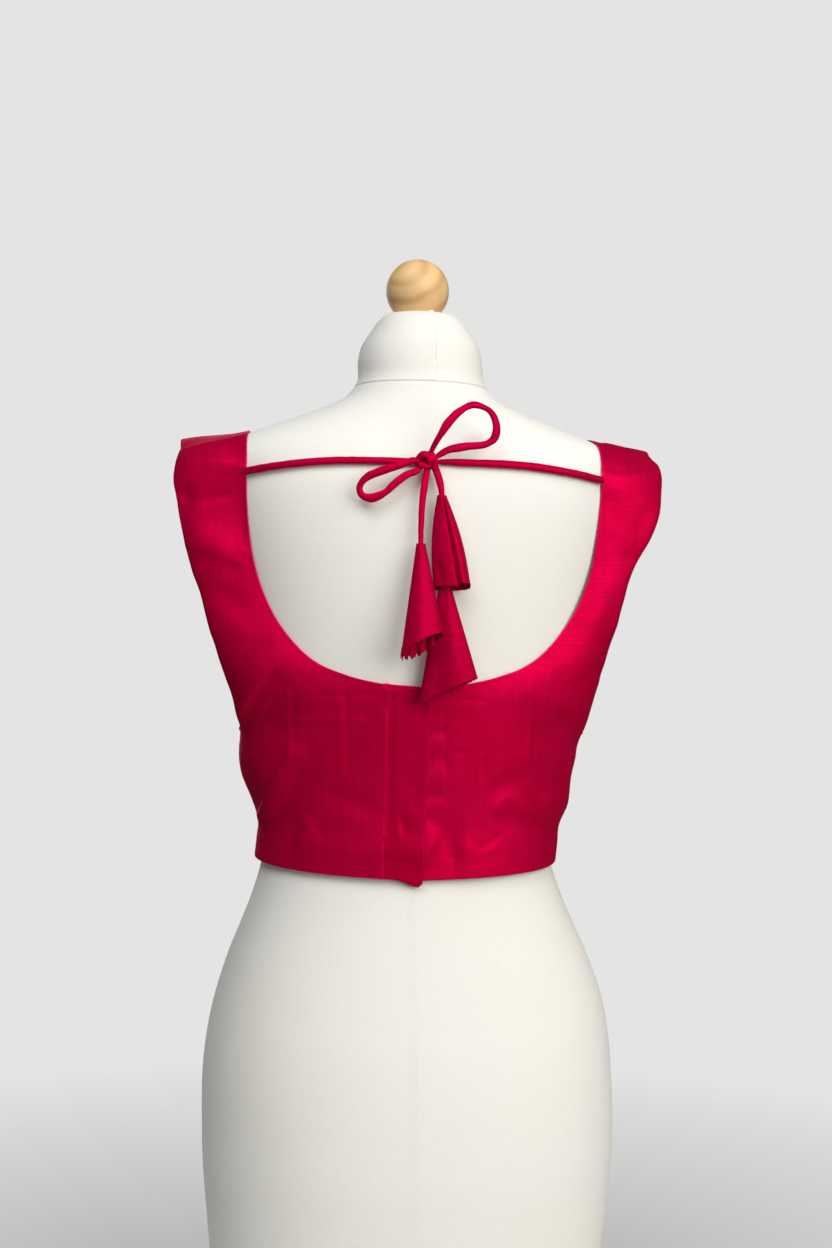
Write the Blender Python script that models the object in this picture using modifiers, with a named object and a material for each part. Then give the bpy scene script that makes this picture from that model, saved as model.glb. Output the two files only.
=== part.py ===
# Sleeveless choli blouse with a tied back, worn on a limbless dress form.
# Metres, +Z up. The origin is on the floor under the middle of the form.
# The wearer's back faces -Y and the front faces +Y.
import math
from collections import namedtuple

import bpy
import bmesh
from mathutils import Vector
from mathutils.bvhtree import BVHTree

for old in list(bpy.data.objects):
    bpy.data.objects.remove(old, do_unlink=True)

# Cloth
CLOTH = 0.0016          # wall of the blouse panels
BAND = 0.0012           # wall of the placket band
CONE = 0.0009           # wall of the pendants
REST = 0.0007           # cloth to form
SEAM = 0.0003           # half of the gap at a seam
CREST = 0.0003          # half of the gap at the shoulder seam

# Tie and bow
TIE_RADIUS = 0.0029
END_RADIUS = 0.0022
PINCH = 0.72            # how far a cord narrows where it enters the knot
KNOT_CENTRE = Vector((-0.0010, -0.0962, 0.8362))
KNOT_SIZE = (0.0076, 0.0060, 0.0062)

# Placket band, measured from the centre back
BAND_LEFT = -0.0282
BAND_RIGHT = 0.0056
BAND_TAB = 0.0045

# Stand
BASE_RADIUS = 0.160
BASE_THICK = 0.014
POLE_RADIUS = 0.0125
BALL_RADIUS = 0.0262
BALL_HEIGHT = 0.9868

# Bust mounds, the same on the form and in the front panel
BUST = {"x": 0.068, "z": 0.697, "out": 0.024, "wide": 0.043, "tall": 0.047}

FULL = 0.82             # fullness of a quarter section, 0.707 is an ellipse

# Sections of the form: height, half breadth, depths behind and in front, sideways shift
FormRow = namedtuple("FormRow", "z half back front shift")
FORM_ROWS = [
    FormRow(0.130, 0.1500, 0.1060, 0.0960, 0.000),
    FormRow(0.160, 0.1570, 0.1130, 0.1000, 0.000),
    FormRow(0.195, 0.1620, 0.1190, 0.1040, 0.001),
    FormRow(0.262, 0.1687, 0.1245, 0.1080, 0.001),
    FormRow(0.300, 0.1702, 0.1245, 0.1090, 0.001),
    FormRow(0.340, 0.1695, 0.1210, 0.1080, 0.000),
    FormRow(0.374, 0.1662, 0.1150, 0.1060, 0.000),
    FormRow(0.404, 0.1602, 0.1070, 0.1030, 0.000),
    FormRow(0.436, 0.1495, 0.0980, 0.0985, -0.001),
    FormRow(0.461, 0.1388, 0.0910, 0.0945, -0.002),
    FormRow(0.487, 0.1283, 0.0850, 0.0915, -0.003),
    FormRow(0.513, 0.1203, 0.0815, 0.0900, -0.004),
    FormRow(0.540, 0.1180, 0.0805, 0.0915, -0.004),
    FormRow(0.570, 0.1225, 0.0820, 0.0970, -0.003),
    FormRow(0.600, 0.1285, 0.0845, 0.1030, -0.003),
    FormRow(0.630, 0.1340, 0.0875, 0.1080, -0.002),
    FormRow(0.665, 0.1395, 0.0905, 0.1110, -0.001),
    FormRow(0.700, 0.1455, 0.0928, 0.1110, 0.000),
    FormRow(0.740, 0.1530, 0.0950, 0.1080, 0.000),
    FormRow(0.775, 0.1610, 0.0955, 0.1020, 0.000),
    FormRow(0.805, 0.1680, 0.0940, 0.0930, 0.000),
    FormRow(0.825, 0.1715, 0.0910, 0.0860, 0.000),
    FormRow(0.840, 0.1720, 0.0860, 0.0780, 0.000),
    FormRow(0.850, 0.1670, 0.0810, 0.0710, 0.000),
    FormRow(0.858, 0.1560, 0.0760, 0.0650, 0.000),
    FormRow(0.866, 0.1370, 0.0705, 0.0585, 0.000),
    FormRow(0.874, 0.1150, 0.0660, 0.0530, 0.000),
    FormRow(0.882, 0.0930, 0.0625, 0.0490, 0.000),
    FormRow(0.889, 0.0760, 0.0600, 0.0465, 0.000),
    FormRow(0.8955, 0.0640, 0.0575, 0.0450, 0.000),
    FormRow(0.9045, 0.0553, 0.0545, 0.0440, 0.000),
]
NECK_ROWS = [
    FormRow(0.9049, 0.0550, 0.0540, 0.0440, 0.000),
    FormRow(0.9130, 0.0522, 0.0505, 0.0435, 0.000),
    FormRow(0.9258, 0.0517, 0.0485, 0.0435, -0.001),
    FormRow(0.9370, 0.0498, 0.0460, 0.0430, -0.001),
    FormRow(0.9450, 0.0458, 0.0425, 0.0405, -0.001),
    FormRow(0.9520, 0.0412, 0.0385, 0.0370, -0.001),
    FormRow(0.9585, 0.0370, 0.0345, 0.0340, -0.001),
    FormRow(0.9635, 0.0320, 0.0300, 0.0300, -0.001),
    FormRow(0.9655, 0.0285, 0.0265, 0.0270, -0.001),
]

# Rows of a back panel, from the hem to the shoulder seam. Each row runs from the centre
# back or neckline (in) to the side seam or armhole edge (out), for the right and left sides.
BackRow = namedtuple("BackRow", "in_right in_left in_z in_y out_right out_left out_z out_y full")
BACK_ROWS = [
    BackRow(0.0000, 0.0000, 0.5095, -0.0868, 0.1200, 0.1303, 0.5165, 0.000, 1.00),
    BackRow(0.0000, 0.0000, 0.5270, -0.0850, 0.1213, 0.1290, 0.5310, 0.000, 1.00),
    BackRow(0.0000, 0.0000, 0.5460, -0.0845, 0.1225, 0.1280, 0.5460, 0.000, 1.00),
    BackRow(0.0000, 0.0000, 0.5660, -0.0860, 0.1295, 0.1335, 0.5630, 0.000, 1.00),
    BackRow(0.0000, 0.0000, 0.5900, -0.0880, 0.1315, 0.1425, 0.5840, 0.000, 1.00),
    BackRow(0.0000, 0.0000, 0.6160, -0.0905, 0.1355, 0.1448, 0.6030, 0.000, 1.00),
    BackRow(0.0000, 0.0000, 0.6410, -0.0925, 0.1392, 0.1437, 0.6190, 0.000, 1.00),
    BackRow(0.0000, 0.0000, 0.6610, -0.0938, 0.1398, 0.1442, 0.6228, -0.014, 1.00),
    BackRow(0.0350, 0.0370, 0.6637, -0.0915, 0.1408, 0.1458, 0.6315, -0.025, 1.00),
    BackRow(0.0610, 0.0620, 0.6700, -0.0872, 0.1428, 0.1490, 0.6450, -0.033, 1.00),
    BackRow(0.0830, 0.0830, 0.6790, -0.0812, 0.1468, 0.1560, 0.6630, -0.039, 0.98),
    BackRow(0.1005, 0.0990, 0.6920, -0.0742, 0.1535, 0.1640, 0.6850, -0.043, 0.95),
    BackRow(0.1165, 0.1145, 0.7110, -0.0675, 0.1612, 0.1715, 0.7100, -0.045, 0.90),
    BackRow(0.1290, 0.1260, 0.7330, -0.0620, 0.1672, 0.1772, 0.7350, -0.046, 0.85),
    BackRow(0.1375, 0.1340, 0.7570, -0.0590, 0.1765, 0.1855, 0.7580, -0.045, 0.80),
    BackRow(0.1415, 0.1380, 0.7830, -0.0575, 0.1885, 0.1925, 0.7820, -0.042, 0.75),
    BackRow(0.1435, 0.1397, 0.8070, -0.0570, 0.1965, 0.1972, 0.8040, -0.037, 0.70),
    BackRow(0.1442, 0.1402, 0.8270, -0.0565, 0.1990, 0.2008, 0.8220, -0.030, 0.65),
    BackRow(0.1445, 0.1405, 0.8430, -0.0525, 0.1998, 0.2002, 0.8355, -0.023, 0.60),
    BackRow(0.1440, 0.1408, 0.8560, -0.0400, 0.1978, 0.1982, 0.8455, -0.016, 0.55),
    BackRow(0.1425, 0.1408, 0.8645, -0.0225, 0.1950, 0.1965, 0.8510, -0.010, 0.50),
    BackRow(0.1405, 0.1405, 0.8678, -0.0060, 0.1935, 0.1958, 0.8545, -0.006, 0.50),
]

# Rows of the front, from the hem to the shoulder seam, the same on both sides but for
# the side seam, which follows the back's.
FRONT_ROWS = [
    BackRow(0.0000, 0.0000, 0.5110, 0.0940, 0.1200, 0.1303, 0.5165, 0.000, 1.00),
    BackRow(0.0000, 0.0000, 0.5290, 0.0945, 0.1213, 0.1290, 0.5310, 0.000, 1.00),
    BackRow(0.0000, 0.0000, 0.5480, 0.0965, 0.1225, 0.1280, 0.5460, 0.000, 1.00),
    BackRow(0.0000, 0.0000, 0.5700, 0.1005, 0.1295, 0.1335, 0.5630, 0.000, 1.00),
    BackRow(0.0000, 0.0000, 0.5980, 0.1065, 0.1315, 0.1425, 0.5840, 0.000, 1.00),
    BackRow(0.0000, 0.0000, 0.6290, 0.1125, 0.1355, 0.1448, 0.6030, 0.000, 1.00),
    BackRow(0.0000, 0.0000, 0.6620, 0.1170, 0.1392, 0.1437, 0.6190, 0.000, 1.00),
    BackRow(0.0000, 0.0000, 0.6950, 0.1185, 0.1400, 0.1443, 0.6235, 0.016, 1.00),
    BackRow(0.0000, 0.0000, 0.7280, 0.1155, 0.1420, 0.1468, 0.6360, 0.031, 1.00),
    BackRow(0.0000, 0.0000, 0.7580, 0.1100, 0.1450, 0.1520, 0.6560, 0.042, 1.00),
    BackRow(0.0310, 0.0310, 0.7605, 0.1090, 0.1500, 0.1585, 0.6820, 0.050, 1.00),
    BackRow(0.0590, 0.0590, 0.7690, 0.1045, 0.1560, 0.1655, 0.7090, 0.056, 1.00),
    BackRow(0.0830, 0.0830, 0.7830, 0.0945, 0.1625, 0.1720, 0.7370, 0.060, 0.96),
    BackRow(0.1030, 0.1030, 0.8010, 0.0820, 0.1720, 0.1790, 0.7640, 0.062, 0.90),
    BackRow(0.1190, 0.1190, 0.8200, 0.0705, 0.1830, 0.1880, 0.7920, 0.061, 0.84),
    BackRow(0.1300, 0.1300, 0.8370, 0.0600, 0.1920, 0.1950, 0.8180, 0.057, 0.76),
    BackRow(0.1360, 0.1360, 0.8510, 0.0480, 0.1960, 0.1990, 0.8380, 0.049, 0.68),
    BackRow(0.1385, 0.1385, 0.8600, 0.0320, 0.1965, 0.2000, 0.8520, 0.039, 0.60),
    BackRow(0.1398, 0.1398, 0.8655, 0.0190, 0.1960, 0.1995, 0.8595, 0.027, 0.55),
    BackRow(0.1405, 0.1405, 0.8680, 0.0060, 0.1950, 0.1980, 0.8600, 0.012, 0.50),
    BackRow(0.1405, 0.1405, 0.8678, -0.0060, 0.1935, 0.1958, 0.8545, -0.006, 0.50),
]

# Which row of each table meets the lowest point of the neckline
BACK_NECK, FRONT_NECK = 7, 9

# Cloth cones, seen from behind: the ends of the head and of the rim as (x, z), the depth
# that each lies at, half the depth of the head and rim, and how far the near rim is raised
ConeRow = namedtuple("ConeRow", "name head_a head_b rim_a rim_b y0 y1 thick0 thick1 lift bulge")
CONES = [
    ConeRow("latkan_left", (-0.0085, 0.7715), (-0.0015, 0.7715), (-0.0197, 0.6857),
            (0.0125, 0.7024), -0.1080, -0.1235, 0.0036, 0.0078, 0.0045, 0.0),
    ConeRow("latkan_upper", (0.0072, 0.8093), (0.0142, 0.8093), (0.0056, 0.7375),
            (0.0340, 0.7385), -0.1038, -0.1075, 0.0035, 0.0068, 0.0015, 0.0030),
    ConeRow("latkan_lower", (0.0110, 0.7480), (0.0162, 0.7480), (-0.0043, 0.6489),
            (0.0412, 0.6690), -0.1073, -0.1050, 0.0028, 0.0058, 0.0010, 0.0),
]

# Directions in which the cords leave the knot
KNOT_WAYS = {
    "tie_left": (-1.00, 0.55, -0.10), "tie_right": (1.00, 0.55, -0.10),
    "upper_out": (0.42, -0.45, 0.80), "upper_back": (0.92, -0.10, 0.38),
    "lower_out": (-0.93, -0.55, -0.05), "lower_back": (-0.62, -0.35, -0.70),
    "end_left": (0.10, -0.35, -0.93), "end_right": (0.75, -0.35, -0.55),
}


def knot_spot(way, gap=0.0006):
    """Point just off the knot's surface in a direction from its middle."""
    way = Vector(KNOT_WAYS[way]).normalized()
    reach = 1 / math.sqrt(sum((way[k] / KNOT_SIZE[k]) ** 2 for k in range(3)))
    return KNOT_CENTRE + way * (reach + gap)


# Routes of the bow and of the free ends, through (x, y, z), from the knot
LOOP_UPPER = [knot_spot("upper_out"), (0.0042, -0.1020, 0.8475), (0.0090, -0.1045, 0.8560),
              (0.0150, -0.1045, 0.8655), (0.0235, -0.1030, 0.8745), (0.0345, -0.1005, 0.8800),
              (0.0470, -0.0985, 0.8762), (0.0525, -0.0980, 0.8660), (0.0515, -0.0975, 0.8555),
              (0.0440, -0.0970, 0.8500), (0.0300, -0.0965, 0.8482), (0.0170, -0.0962, 0.8455),
              (0.0105, -0.0963, 0.8420), knot_spot("upper_back")]
LOOP_LOWER = [knot_spot("lower_out", 0.0014), (-0.0122, -0.1026, 0.8357), (-0.0190, -0.1030, 0.8330),
              (-0.0345, -0.1028, 0.8275), (-0.0462, -0.1013, 0.8225), (-0.0522, -0.1000, 0.8155),
              (-0.0508, -0.1000, 0.8085), (-0.0430, -0.1005, 0.8062), (-0.0330, -0.1012, 0.8105),
              (-0.0250, -0.1015, 0.8180), (-0.0165, -0.1010, 0.8245), (-0.0090, -0.1003, 0.8275),
              knot_spot("lower_back", 0.0010)]
END_LEFT = [knot_spot("end_left", 0.0007), (-0.0022, -0.1015, 0.8200), (-0.0043, -0.1050, 0.8020),
            (-0.0050, -0.1069, 0.7850), (-0.0050, -0.1080, 0.7715), (-0.0048, -0.1092, 0.7620)]
END_RIGHT = [knot_spot("end_right", 0.0010), (0.0074, -0.1010, 0.8255), (0.0098, -0.1028, 0.8170),
             (0.0107, -0.1038, 0.8093), (0.0118, -0.1046, 0.7900), (0.0129, -0.1061, 0.7690),
             (0.0136, -0.1072, 0.7485)]

collection = bpy.data.collections.new("choli_blouse")
bpy.context.scene.collection.children.link(collection)

LOOKS = {
    "satin": ((0.44, 0.002, 0.045), 0.42),
    "jersey": ((0.84, 0.82, 0.76), 0.9),
    "beech": ((0.64, 0.40, 0.20), 0.45),
}


def dress(obj, look):
    """Give the object its own material and put it in the collection."""
    colour, roughness = LOOKS[look]
    material = bpy.data.materials.new(obj.name)
    material.use_nodes = True
    shader = material.node_tree.nodes["Principled BSDF"]
    shader.inputs["Base Color"].default_value = (*colour, 1.0)
    shader.inputs["Roughness"].default_value = roughness
    shader.inputs["Metallic"].default_value = 0.0
    obj.data.materials.clear()
    obj.data.materials.append(material)
    for holder in list(obj.users_collection):
        holder.objects.unlink(obj)
    collection.objects.link(obj)
    return obj


def smooth_value(p0, p1, p2, p3, t):
    """Catmull-Rom value between p1 and p2."""
    return 0.5 * (2 * p1 + (p2 - p0) * t + (2 * p0 - 5 * p1 + 4 * p2 - p3) * t * t
                  + (3 * p1 - p0 - 3 * p2 + p3) * t ** 3)


def row_at(rows, place):
    """Row of a table at a place between its rows, the ends carried on straight."""
    last = len(rows) - 1
    i = min(max(int(math.floor(place)), 0), last - 1)
    t = place - i
    neck_row = {id(BACK_ROWS): BACK_NECK, id(FRONT_ROWS): FRONT_NECK}.get(id(rows), -9)
    values = []
    for k in range(len(rows[0])):
        p1, p2 = rows[i][k], rows[i + 1][k]
        p0 = rows[i - 1][k] if i > 0 else 2 * p1 - p2
        p3 = rows[i + 2][k] if i < last - 1 else 2 * p2 - p1
        if k < 4 and i == neck_row:
            p0 = 2 * p1 - p2 if k < 2 else p2
        if k < 4 and i == neck_row - 1:
            p3 = 2 * p2 - p1
        if 0 <= t <= 1:
            values.append(smooth_value(p0, p1, p2, p3, t))
        else:
            values.append(p1 + (p2 - p1) * t)
    return type(rows[0])(*values)


def route(points, count):
    """Smooth route through the points, evenly spread."""
    points = [Vector(p) for p in points]
    fine = []
    for i in range(len(points) - 1):
        p1, p2 = points[i], points[i + 1]
        p0 = points[i - 1] if i > 0 else 2 * p1 - p2
        p3 = points[i + 2] if i < len(points) - 2 else 2 * p2 - p1
        fine += [smooth_value(p0, p1, p2, p3, k / 24) for k in range(24)]
    fine.append(points[-1])
    run = [0.0]
    for a, b in zip(fine, fine[1:]):
        run.append(run[-1] + (b - a).length)
    result, j = [], 0
    for k in range(count):
        want = run[-1] * k / (count - 1)
        while j < len(run) - 2 and run[j + 1] < want:
            j += 1
        part = (want - run[j]) / max(run[j + 1] - run[j], 1e-9)
        result.append(fine[j].lerp(fine[j + 1], min(part, 1.0)))
    return result


def arc(start, end, corner, weight, t):
    """Conic from start to end that leaves and arrives toward the corner."""
    a, b, c = (1 - t) ** 2, 2 * t * (1 - t) * weight, t * t
    return (start * a + corner * b + end * c) / (a + b + c)


def bust_at(x, z):
    """How far the bust stands out in front at a place."""
    across = (abs(x) - BUST["x"]) / BUST["wide"]
    up = (z - BUST["z"]) / (BUST["tall"] * (0.85 if z < BUST["z"] else 1.25))
    return BUST["out"] * math.exp(-across * across - up * up)


def form_point(row, turn, bust=True):
    """Point of the form's section, turn 0 to 4 in quarters from the centre back to +X."""
    quarter = int(turn) % 4
    t = turn - int(turn)
    sides = [Vector((0, -row.back, 0)), Vector((row.half, 0, 0)),
             Vector((0, row.front, 0)), Vector((-row.half, 0, 0))]
    start, end = sides[quarter], sides[(quarter + 1) % 4]
    point = arc(start, end, start + end, FULL, t)
    if bust and point.y > 0:
        point.y += bust_at(point.x, row.z) * min(1.0, point.y / 0.05)
    return point + Vector((row.shift, 0, row.z))


def make_mesh(name, verts, faces):
    mesh = bpy.data.meshes.new(name)
    mesh.from_pydata([tuple(v) for v in verts], [], faces)
    mesh.update()
    obj = bpy.data.objects.new(name, mesh)
    bpy.context.scene.collection.objects.link(obj)
    return obj


def outward(obj):
    """Turn a closed mesh's faces out."""
    bm = bmesh.new()
    bm.from_mesh(obj.data)
    bmesh.ops.recalc_face_normals(bm, faces=bm.faces)
    bm.to_mesh(obj.data)
    bm.free()


def loft(name, rings, look):
    """Closed solid through rings of equal count, with flat ends."""
    count = len(rings[0])
    verts = [p for ring in rings for p in ring]
    faces = []
    for j in range(len(rings) - 1):
        for i in range(count):
            k = (i + 1) % count
            faces.append((j * count + i, j * count + k, (j + 1) * count + k, (j + 1) * count + i))
    faces.append(tuple(reversed(range(count))))
    faces.append(tuple((len(rings) - 1) * count + i for i in range(count)))
    obj = make_mesh(name, verts, faces)
    outward(obj)
    obj.data.shade_smooth()
    obj.data.set_sharp_from_angle(angle=math.radians(50))
    return dress(obj, look)


def even_places(rows, count):
    """Places in a form table evenly spread along its side profile."""
    fine = [k / 20 for k in range((len(rows) - 1) * 20 + 1)]
    read = [row_at(rows, f) for f in fine]
    run = [0.0]
    for a, b in zip(read, read[1:]):
        run.append(run[-1] + math.hypot(b.z - a.z, b.half - a.half))
    result, j = [], 0
    for k in range(count):
        want = run[-1] * k / (count - 1)
        while j < len(run) - 2 and run[j + 1] < want:
            j += 1
        part = (want - run[j]) / max(run[j + 1] - run[j], 1e-9)
        result.append(min(fine[j] + (fine[j + 1] - fine[j]) * part, len(rows) - 1))
    return result


def form_solid(name, rows, count, around):
    rings = []
    for place in even_places(rows, count):
        row = row_at(rows, place)
        rings.append([form_point(row, 4 * i / around) for i in range(around)])
    return loft(name, rings, "jersey")


# Dress form
torso = form_solid("form_torso", FORM_ROWS, 38, 36)
neck = form_solid("form_neck", NECK_ROWS, 8, 24)

# A finer skin of the form, only to lay the cloth on
skin_rings = []
for place in even_places(FORM_ROWS, 120):
    ring_row = row_at(FORM_ROWS, place)
    skin_rings.append([form_point(ring_row, 4 * i / 96) for i in range(96)])
skin_verts = [p for ring in skin_rings for p in ring]
skin_faces = []
for j in range(119):
    for i in range(96):
        k = (i + 1) % 96
        skin_faces.append((j * 96 + i, j * 96 + k, (j + 1) * 96 + k, (j + 1) * 96 + i))
skin = BVHTree.FromPolygons(skin_verts, skin_faces)


def lay_on_form(point, gap):
    """Move a point out until it is clear of the form, softly near the limit."""
    spot, normal, _, _ = skin.find_nearest(point)
    if spot is None:
        return point
    far = (point - spot).dot(normal)
    ease = 0.0012
    if far > gap + ease:
        return point
    if far < gap - ease:
        wanted = gap
    else:
        wanted = gap + (far - gap + ease) ** 2 / (4 * ease)
    return point + normal * (wanted - far)


def panel_point(rows, place, side, t):
    """Point of a panel's outer face: place is the row, side +1 or -1, t runs in to out."""
    row = row_at(rows, place)
    inner = Vector((row.in_right if side > 0 else -row.in_left, row.in_y, row.in_z))
    outer = Vector((row.out_right if side > 0 else -row.out_left, row.out_y, row.out_z))
    cut = 1 - math.sqrt(max(0.0, 1 - inner.x / outer.x))
    corner = Vector((outer.x, inner.y, 0.5 * (inner.z + outer.z)))
    corner.y += (outer.y - inner.y) * cut / (1 + cut)
    middle = 0.5 * (inner + outer)
    corner = middle.lerp(corner, row.full)
    point = arc(inner, outer, corner, FULL, t)
    if rows is FRONT_ROWS:
        point.y += bust_at(point.x, point.z) * min(1.0, max(point.y, 0.0) / 0.05)
    return lay_on_form(point, CLOTH + REST)


def panel_places(rows, count):
    """Places in a panel table, evenly spread along its middle line."""
    fine = [k / 12 for k in range((len(rows) - 1) * 12 + 1)]
    read = [row_at(rows, f) for f in fine]
    run = [0.0]
    for a, b in zip(read, read[1:]):
        step_in = math.dist((a.in_right, a.in_y, a.in_z), (b.in_right, b.in_y, b.in_z))
        step_out = math.dist((a.out_right, a.out_y, a.out_z), (b.out_right, b.out_y, b.out_z))
        close = 2.2 if a.in_z > 0.835 else 1.0
        run.append(run[-1] + 0.5 * (step_in + step_out) * close)
    result, j = [], 0
    for k in range(count):
        want = run[-1] * k / (count - 1)
        while j < len(run) - 2 and run[j + 1] < want:
            j += 1
        part = (want - run[j]) / max(run[j + 1] - run[j], 1e-9)
        result.append(min(fine[j] + (fine[j + 1] - fine[j]) * part, len(rows) - 1))
    return result


def sheet(name, grid, wall, look, flip=False):
    """Open grid of points given a wall on its inner side."""
    wide = len(grid[0])
    verts = [p for line in grid for p in line]
    faces = []
    for j in range(len(grid) - 1):
        for i in range(wide - 1):
            face = (j * wide + i, j * wide + i + 1, (j + 1) * wide + i + 1, (j + 1) * wide + i)
            faces.append(tuple(reversed(face)) if flip else face)
    obj = make_mesh(name, verts, faces)
    obj.data.shade_smooth()
    solid = obj.modifiers.new("wall", "SOLIDIFY")
    solid.thickness = wall
    solid.offset = -1.0
    solid.use_even_offset = True
    solid.use_quality_normals = True
    return dress(obj, look)


# Back panels
ACROSS = 13
back_places = sorted(panel_places(BACK_ROWS, 26) + [BACK_NECK])
for name, side in (("back_right", 1), ("back_left", -1)):
    grid = []
    for place in back_places:
        line = []
        for i in range(ACROSS):
            point = panel_point(BACK_ROWS, place, side, i / (ACROSS - 1))
            if i == 0 and place <= BACK_NECK:
                point.x = side * SEAM
            if i == ACROSS - 1 and place <= 6.05:
                point.y = -SEAM
            line.append(point)
        grid.append(line)
    for point in grid[-1]:
        point.y -= CREST
    sheet(name, grid, CLOTH, "satin", flip=side < 0)

# Front panel, both sides in one piece up to the neckline
front_places = panel_places(FRONT_ROWS, 26)
front_places = sorted(front_places + [FRONT_NECK])
grid_verts, grid_faces, lines = [], [], []
HALF = 13
for place in front_places:
    line = {}
    for side in (-1, 1):
        for i in range(HALF):
            point = panel_point(FRONT_ROWS, place, side, i / (HALF - 1))
            if i == HALF - 1 and place <= 6.05:
                point.y = SEAM
            if i == 0 and place <= FRONT_NECK:
                point.x = 0.0
            if place == front_places[-1]:
                point.y += CREST
            if i == 0 and side == 1 and place <= FRONT_NECK:
                line[(1, 0)] = line[(-1, 0)]
                continue
            line[(side, i)] = len(grid_verts)
            grid_verts.append(point)
    lines.append(line)
for low, high in zip(lines, lines[1:]):
    for side in (-1, 1):
        for i in range(HALF - 1):
            a, b = low[(side, i)], low[(side, i + 1)]
            c, d = high[(side, i + 1)], high[(side, i)]
            grid_faces.append((a, b, c, d) if side < 0 else (d, c, b, a))
front = make_mesh("front", grid_verts, grid_faces)
front.data.shade_smooth()
front_wall = front.modifiers.new("wall", "SOLIDIFY")
front_wall.thickness = CLOTH
front_wall.offset = -1.0
front_wall.use_even_offset = True
front_wall.use_quality_normals = True
dress(front, "satin")


# Placket band, made from the back's own points, moved out
def back_at(place, x):
    """Point of the back's outer face with the given x."""
    side = 1 if x >= 0 else -1
    low, high = 0.0, 1.0
    for _ in range(30):
        mid = 0.5 * (low + high)
        if abs(panel_point(BACK_ROWS, place, side, mid).x) < abs(x):
            low = mid
        else:
            high = mid
    return panel_point(BACK_ROWS, place, side, 0.5 * (low + high))


grid = []
BAND_STEPS = 16
for j in range(BAND_STEPS + 1):
    line = []
    for i in range(6):
        x = BAND_LEFT + (BAND_RIGHT - BAND_LEFT) * i / 5
        top = 6.985
        tab = BAND_TAB * (1 if i in (2, 3, 4) else 0.75) / 0.0175
        place = -tab + (top + tab) * j / BAND_STEPS
        point = back_at(place, x)
        step = Vector((0, -1, 0))
        line.append(point + step * (BAND + 0.0006))
    grid.append(line)
sheet("placket", grid, BAND, "satin")


# Cone shaped pendants
def cone(row, rows=9, around=18):
    head_a, head_b = Vector((row.head_a[0], 0, row.head_a[1])), Vector((row.head_b[0], 0, row.head_b[1]))
    rim_a, rim_b = Vector((row.rim_a[0], 0, row.rim_a[1])), Vector((row.rim_b[0], 0, row.rim_b[1]))
    verts, faces = [], []
    for j in range(rows):
        s = j / (rows - 1)
        a, b = head_a.lerp(rim_a, s), head_b.lerp(rim_b, s)
        reach = 0.5 * (b - a)
        reach += reach.normalized() * row.bulge * math.sin(math.pi * s)
        centre = 0.5 * (a + b)
        centre.y = row.y0 + (row.y1 - row.y0) * s
        thick = row.thick0 + (row.thick1 - row.thick0) * s
        for i in range(around):
            turn = 2 * math.pi * i / around
            point = centre + reach * math.cos(turn)
            point.y -= thick * math.sin(turn)
            point.z += row.lift * math.sin(turn) * s ** 3
            verts.append(point)
    for j in range(rows - 1):
        for i in range(around):
            k = (i + 1) % around
            faces.append((j * around + i, j * around + k, (j + 1) * around + k, (j + 1) * around + i))
    obj = make_mesh(row.name, verts, faces)
    obj.data.shade_smooth()
    solid = obj.modifiers.new("wall", "SOLIDIFY")
    solid.thickness = CONE
    solid.offset = -1.0
    solid.use_even_offset = True
    dress(obj, "satin")
    return obj


for cone_row in CONES:
    cone(cone_row)


# Tie: tubes along smooth routes
def tube(name, points, radius, pinch=(1.0, 1.0)):
    """Tube with filled ends, narrowed to a share of its radius at either end."""
    curve = bpy.data.curves.new(name, "CURVE")
    curve.dimensions = "3D"
    curve.bevel_depth = radius
    curve.bevel_resolution = 2
    curve.use_fill_caps = True
    spline = curve.splines.new("POLY")
    spline.points.add(len(points) - 1)
    last = len(points) - 1
    for k, (spot, point) in enumerate(zip(spline.points, points)):
        spot.co = (*point, 1.0)
        near = (min(k / 4, 1.0), min((last - k) / 4, 1.0))
        spot.radius = min(pinch[0] + (1 - pinch[0]) * near[0], pinch[1] + (1 - pinch[1]) * near[1])
    obj = bpy.data.objects.new(name, curve)
    bpy.context.scene.collection.objects.link(obj)
    return dress(obj, "satin")


TIE_PLACE = 17.05       # row of the back panels where the tie is sewn in
for name, side in (("tie_left", -1), ("tie_right", 1)):
    sewn = panel_point(BACK_ROWS, TIE_PLACE, side, 0.0)
    along = (sewn - panel_point(BACK_ROWS, TIE_PLACE, side, 0.1)).normalized()
    start = lay_on_form(sewn + along * 0.0009, TIE_RADIUS + 0.0005)
    knot_end = knot_spot(name, 0.0011)
    end_x = knot_end.x + side * 0.006
    stops = [start]
    for k in range(1, 8):
        s = k / 7
        x = start.x + (end_x - start.x) * s
        z = start.z + (0.8360 - start.z) * math.sin(0.5 * math.pi * min(1.0, s * 1.5))
        y = skin.ray_cast(Vector((x, -0.4, z)), Vector((0, 1, 0)))[0].y - TIE_RADIUS
        stops.append(lay_on_form(Vector((x, y, z)), TIE_RADIUS + 0.0005))
    stops.append(knot_end)
    tube(name, route(stops, 24), TIE_RADIUS, (1.0, PINCH))

tube("loop_upper", route(LOOP_UPPER, 28), TIE_RADIUS, (PINCH, PINCH))
tube("loop_lower", route(LOOP_LOWER, 26), TIE_RADIUS, (PINCH, PINCH))
tube("end_left", route(END_LEFT, 14), END_RADIUS)
tube("end_right", route(END_RIGHT, 14), END_RADIUS)

bpy.ops.mesh.primitive_uv_sphere_add(segments=16, ring_count=10, radius=1.0, location=KNOT_CENTRE)
knot = bpy.context.active_object
knot.name = "knot"
knot.scale = KNOT_SIZE
bpy.ops.object.transform_apply(location=False, rotation=False, scale=True)
knot.data.shade_smooth()
dress(knot, "satin")

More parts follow.
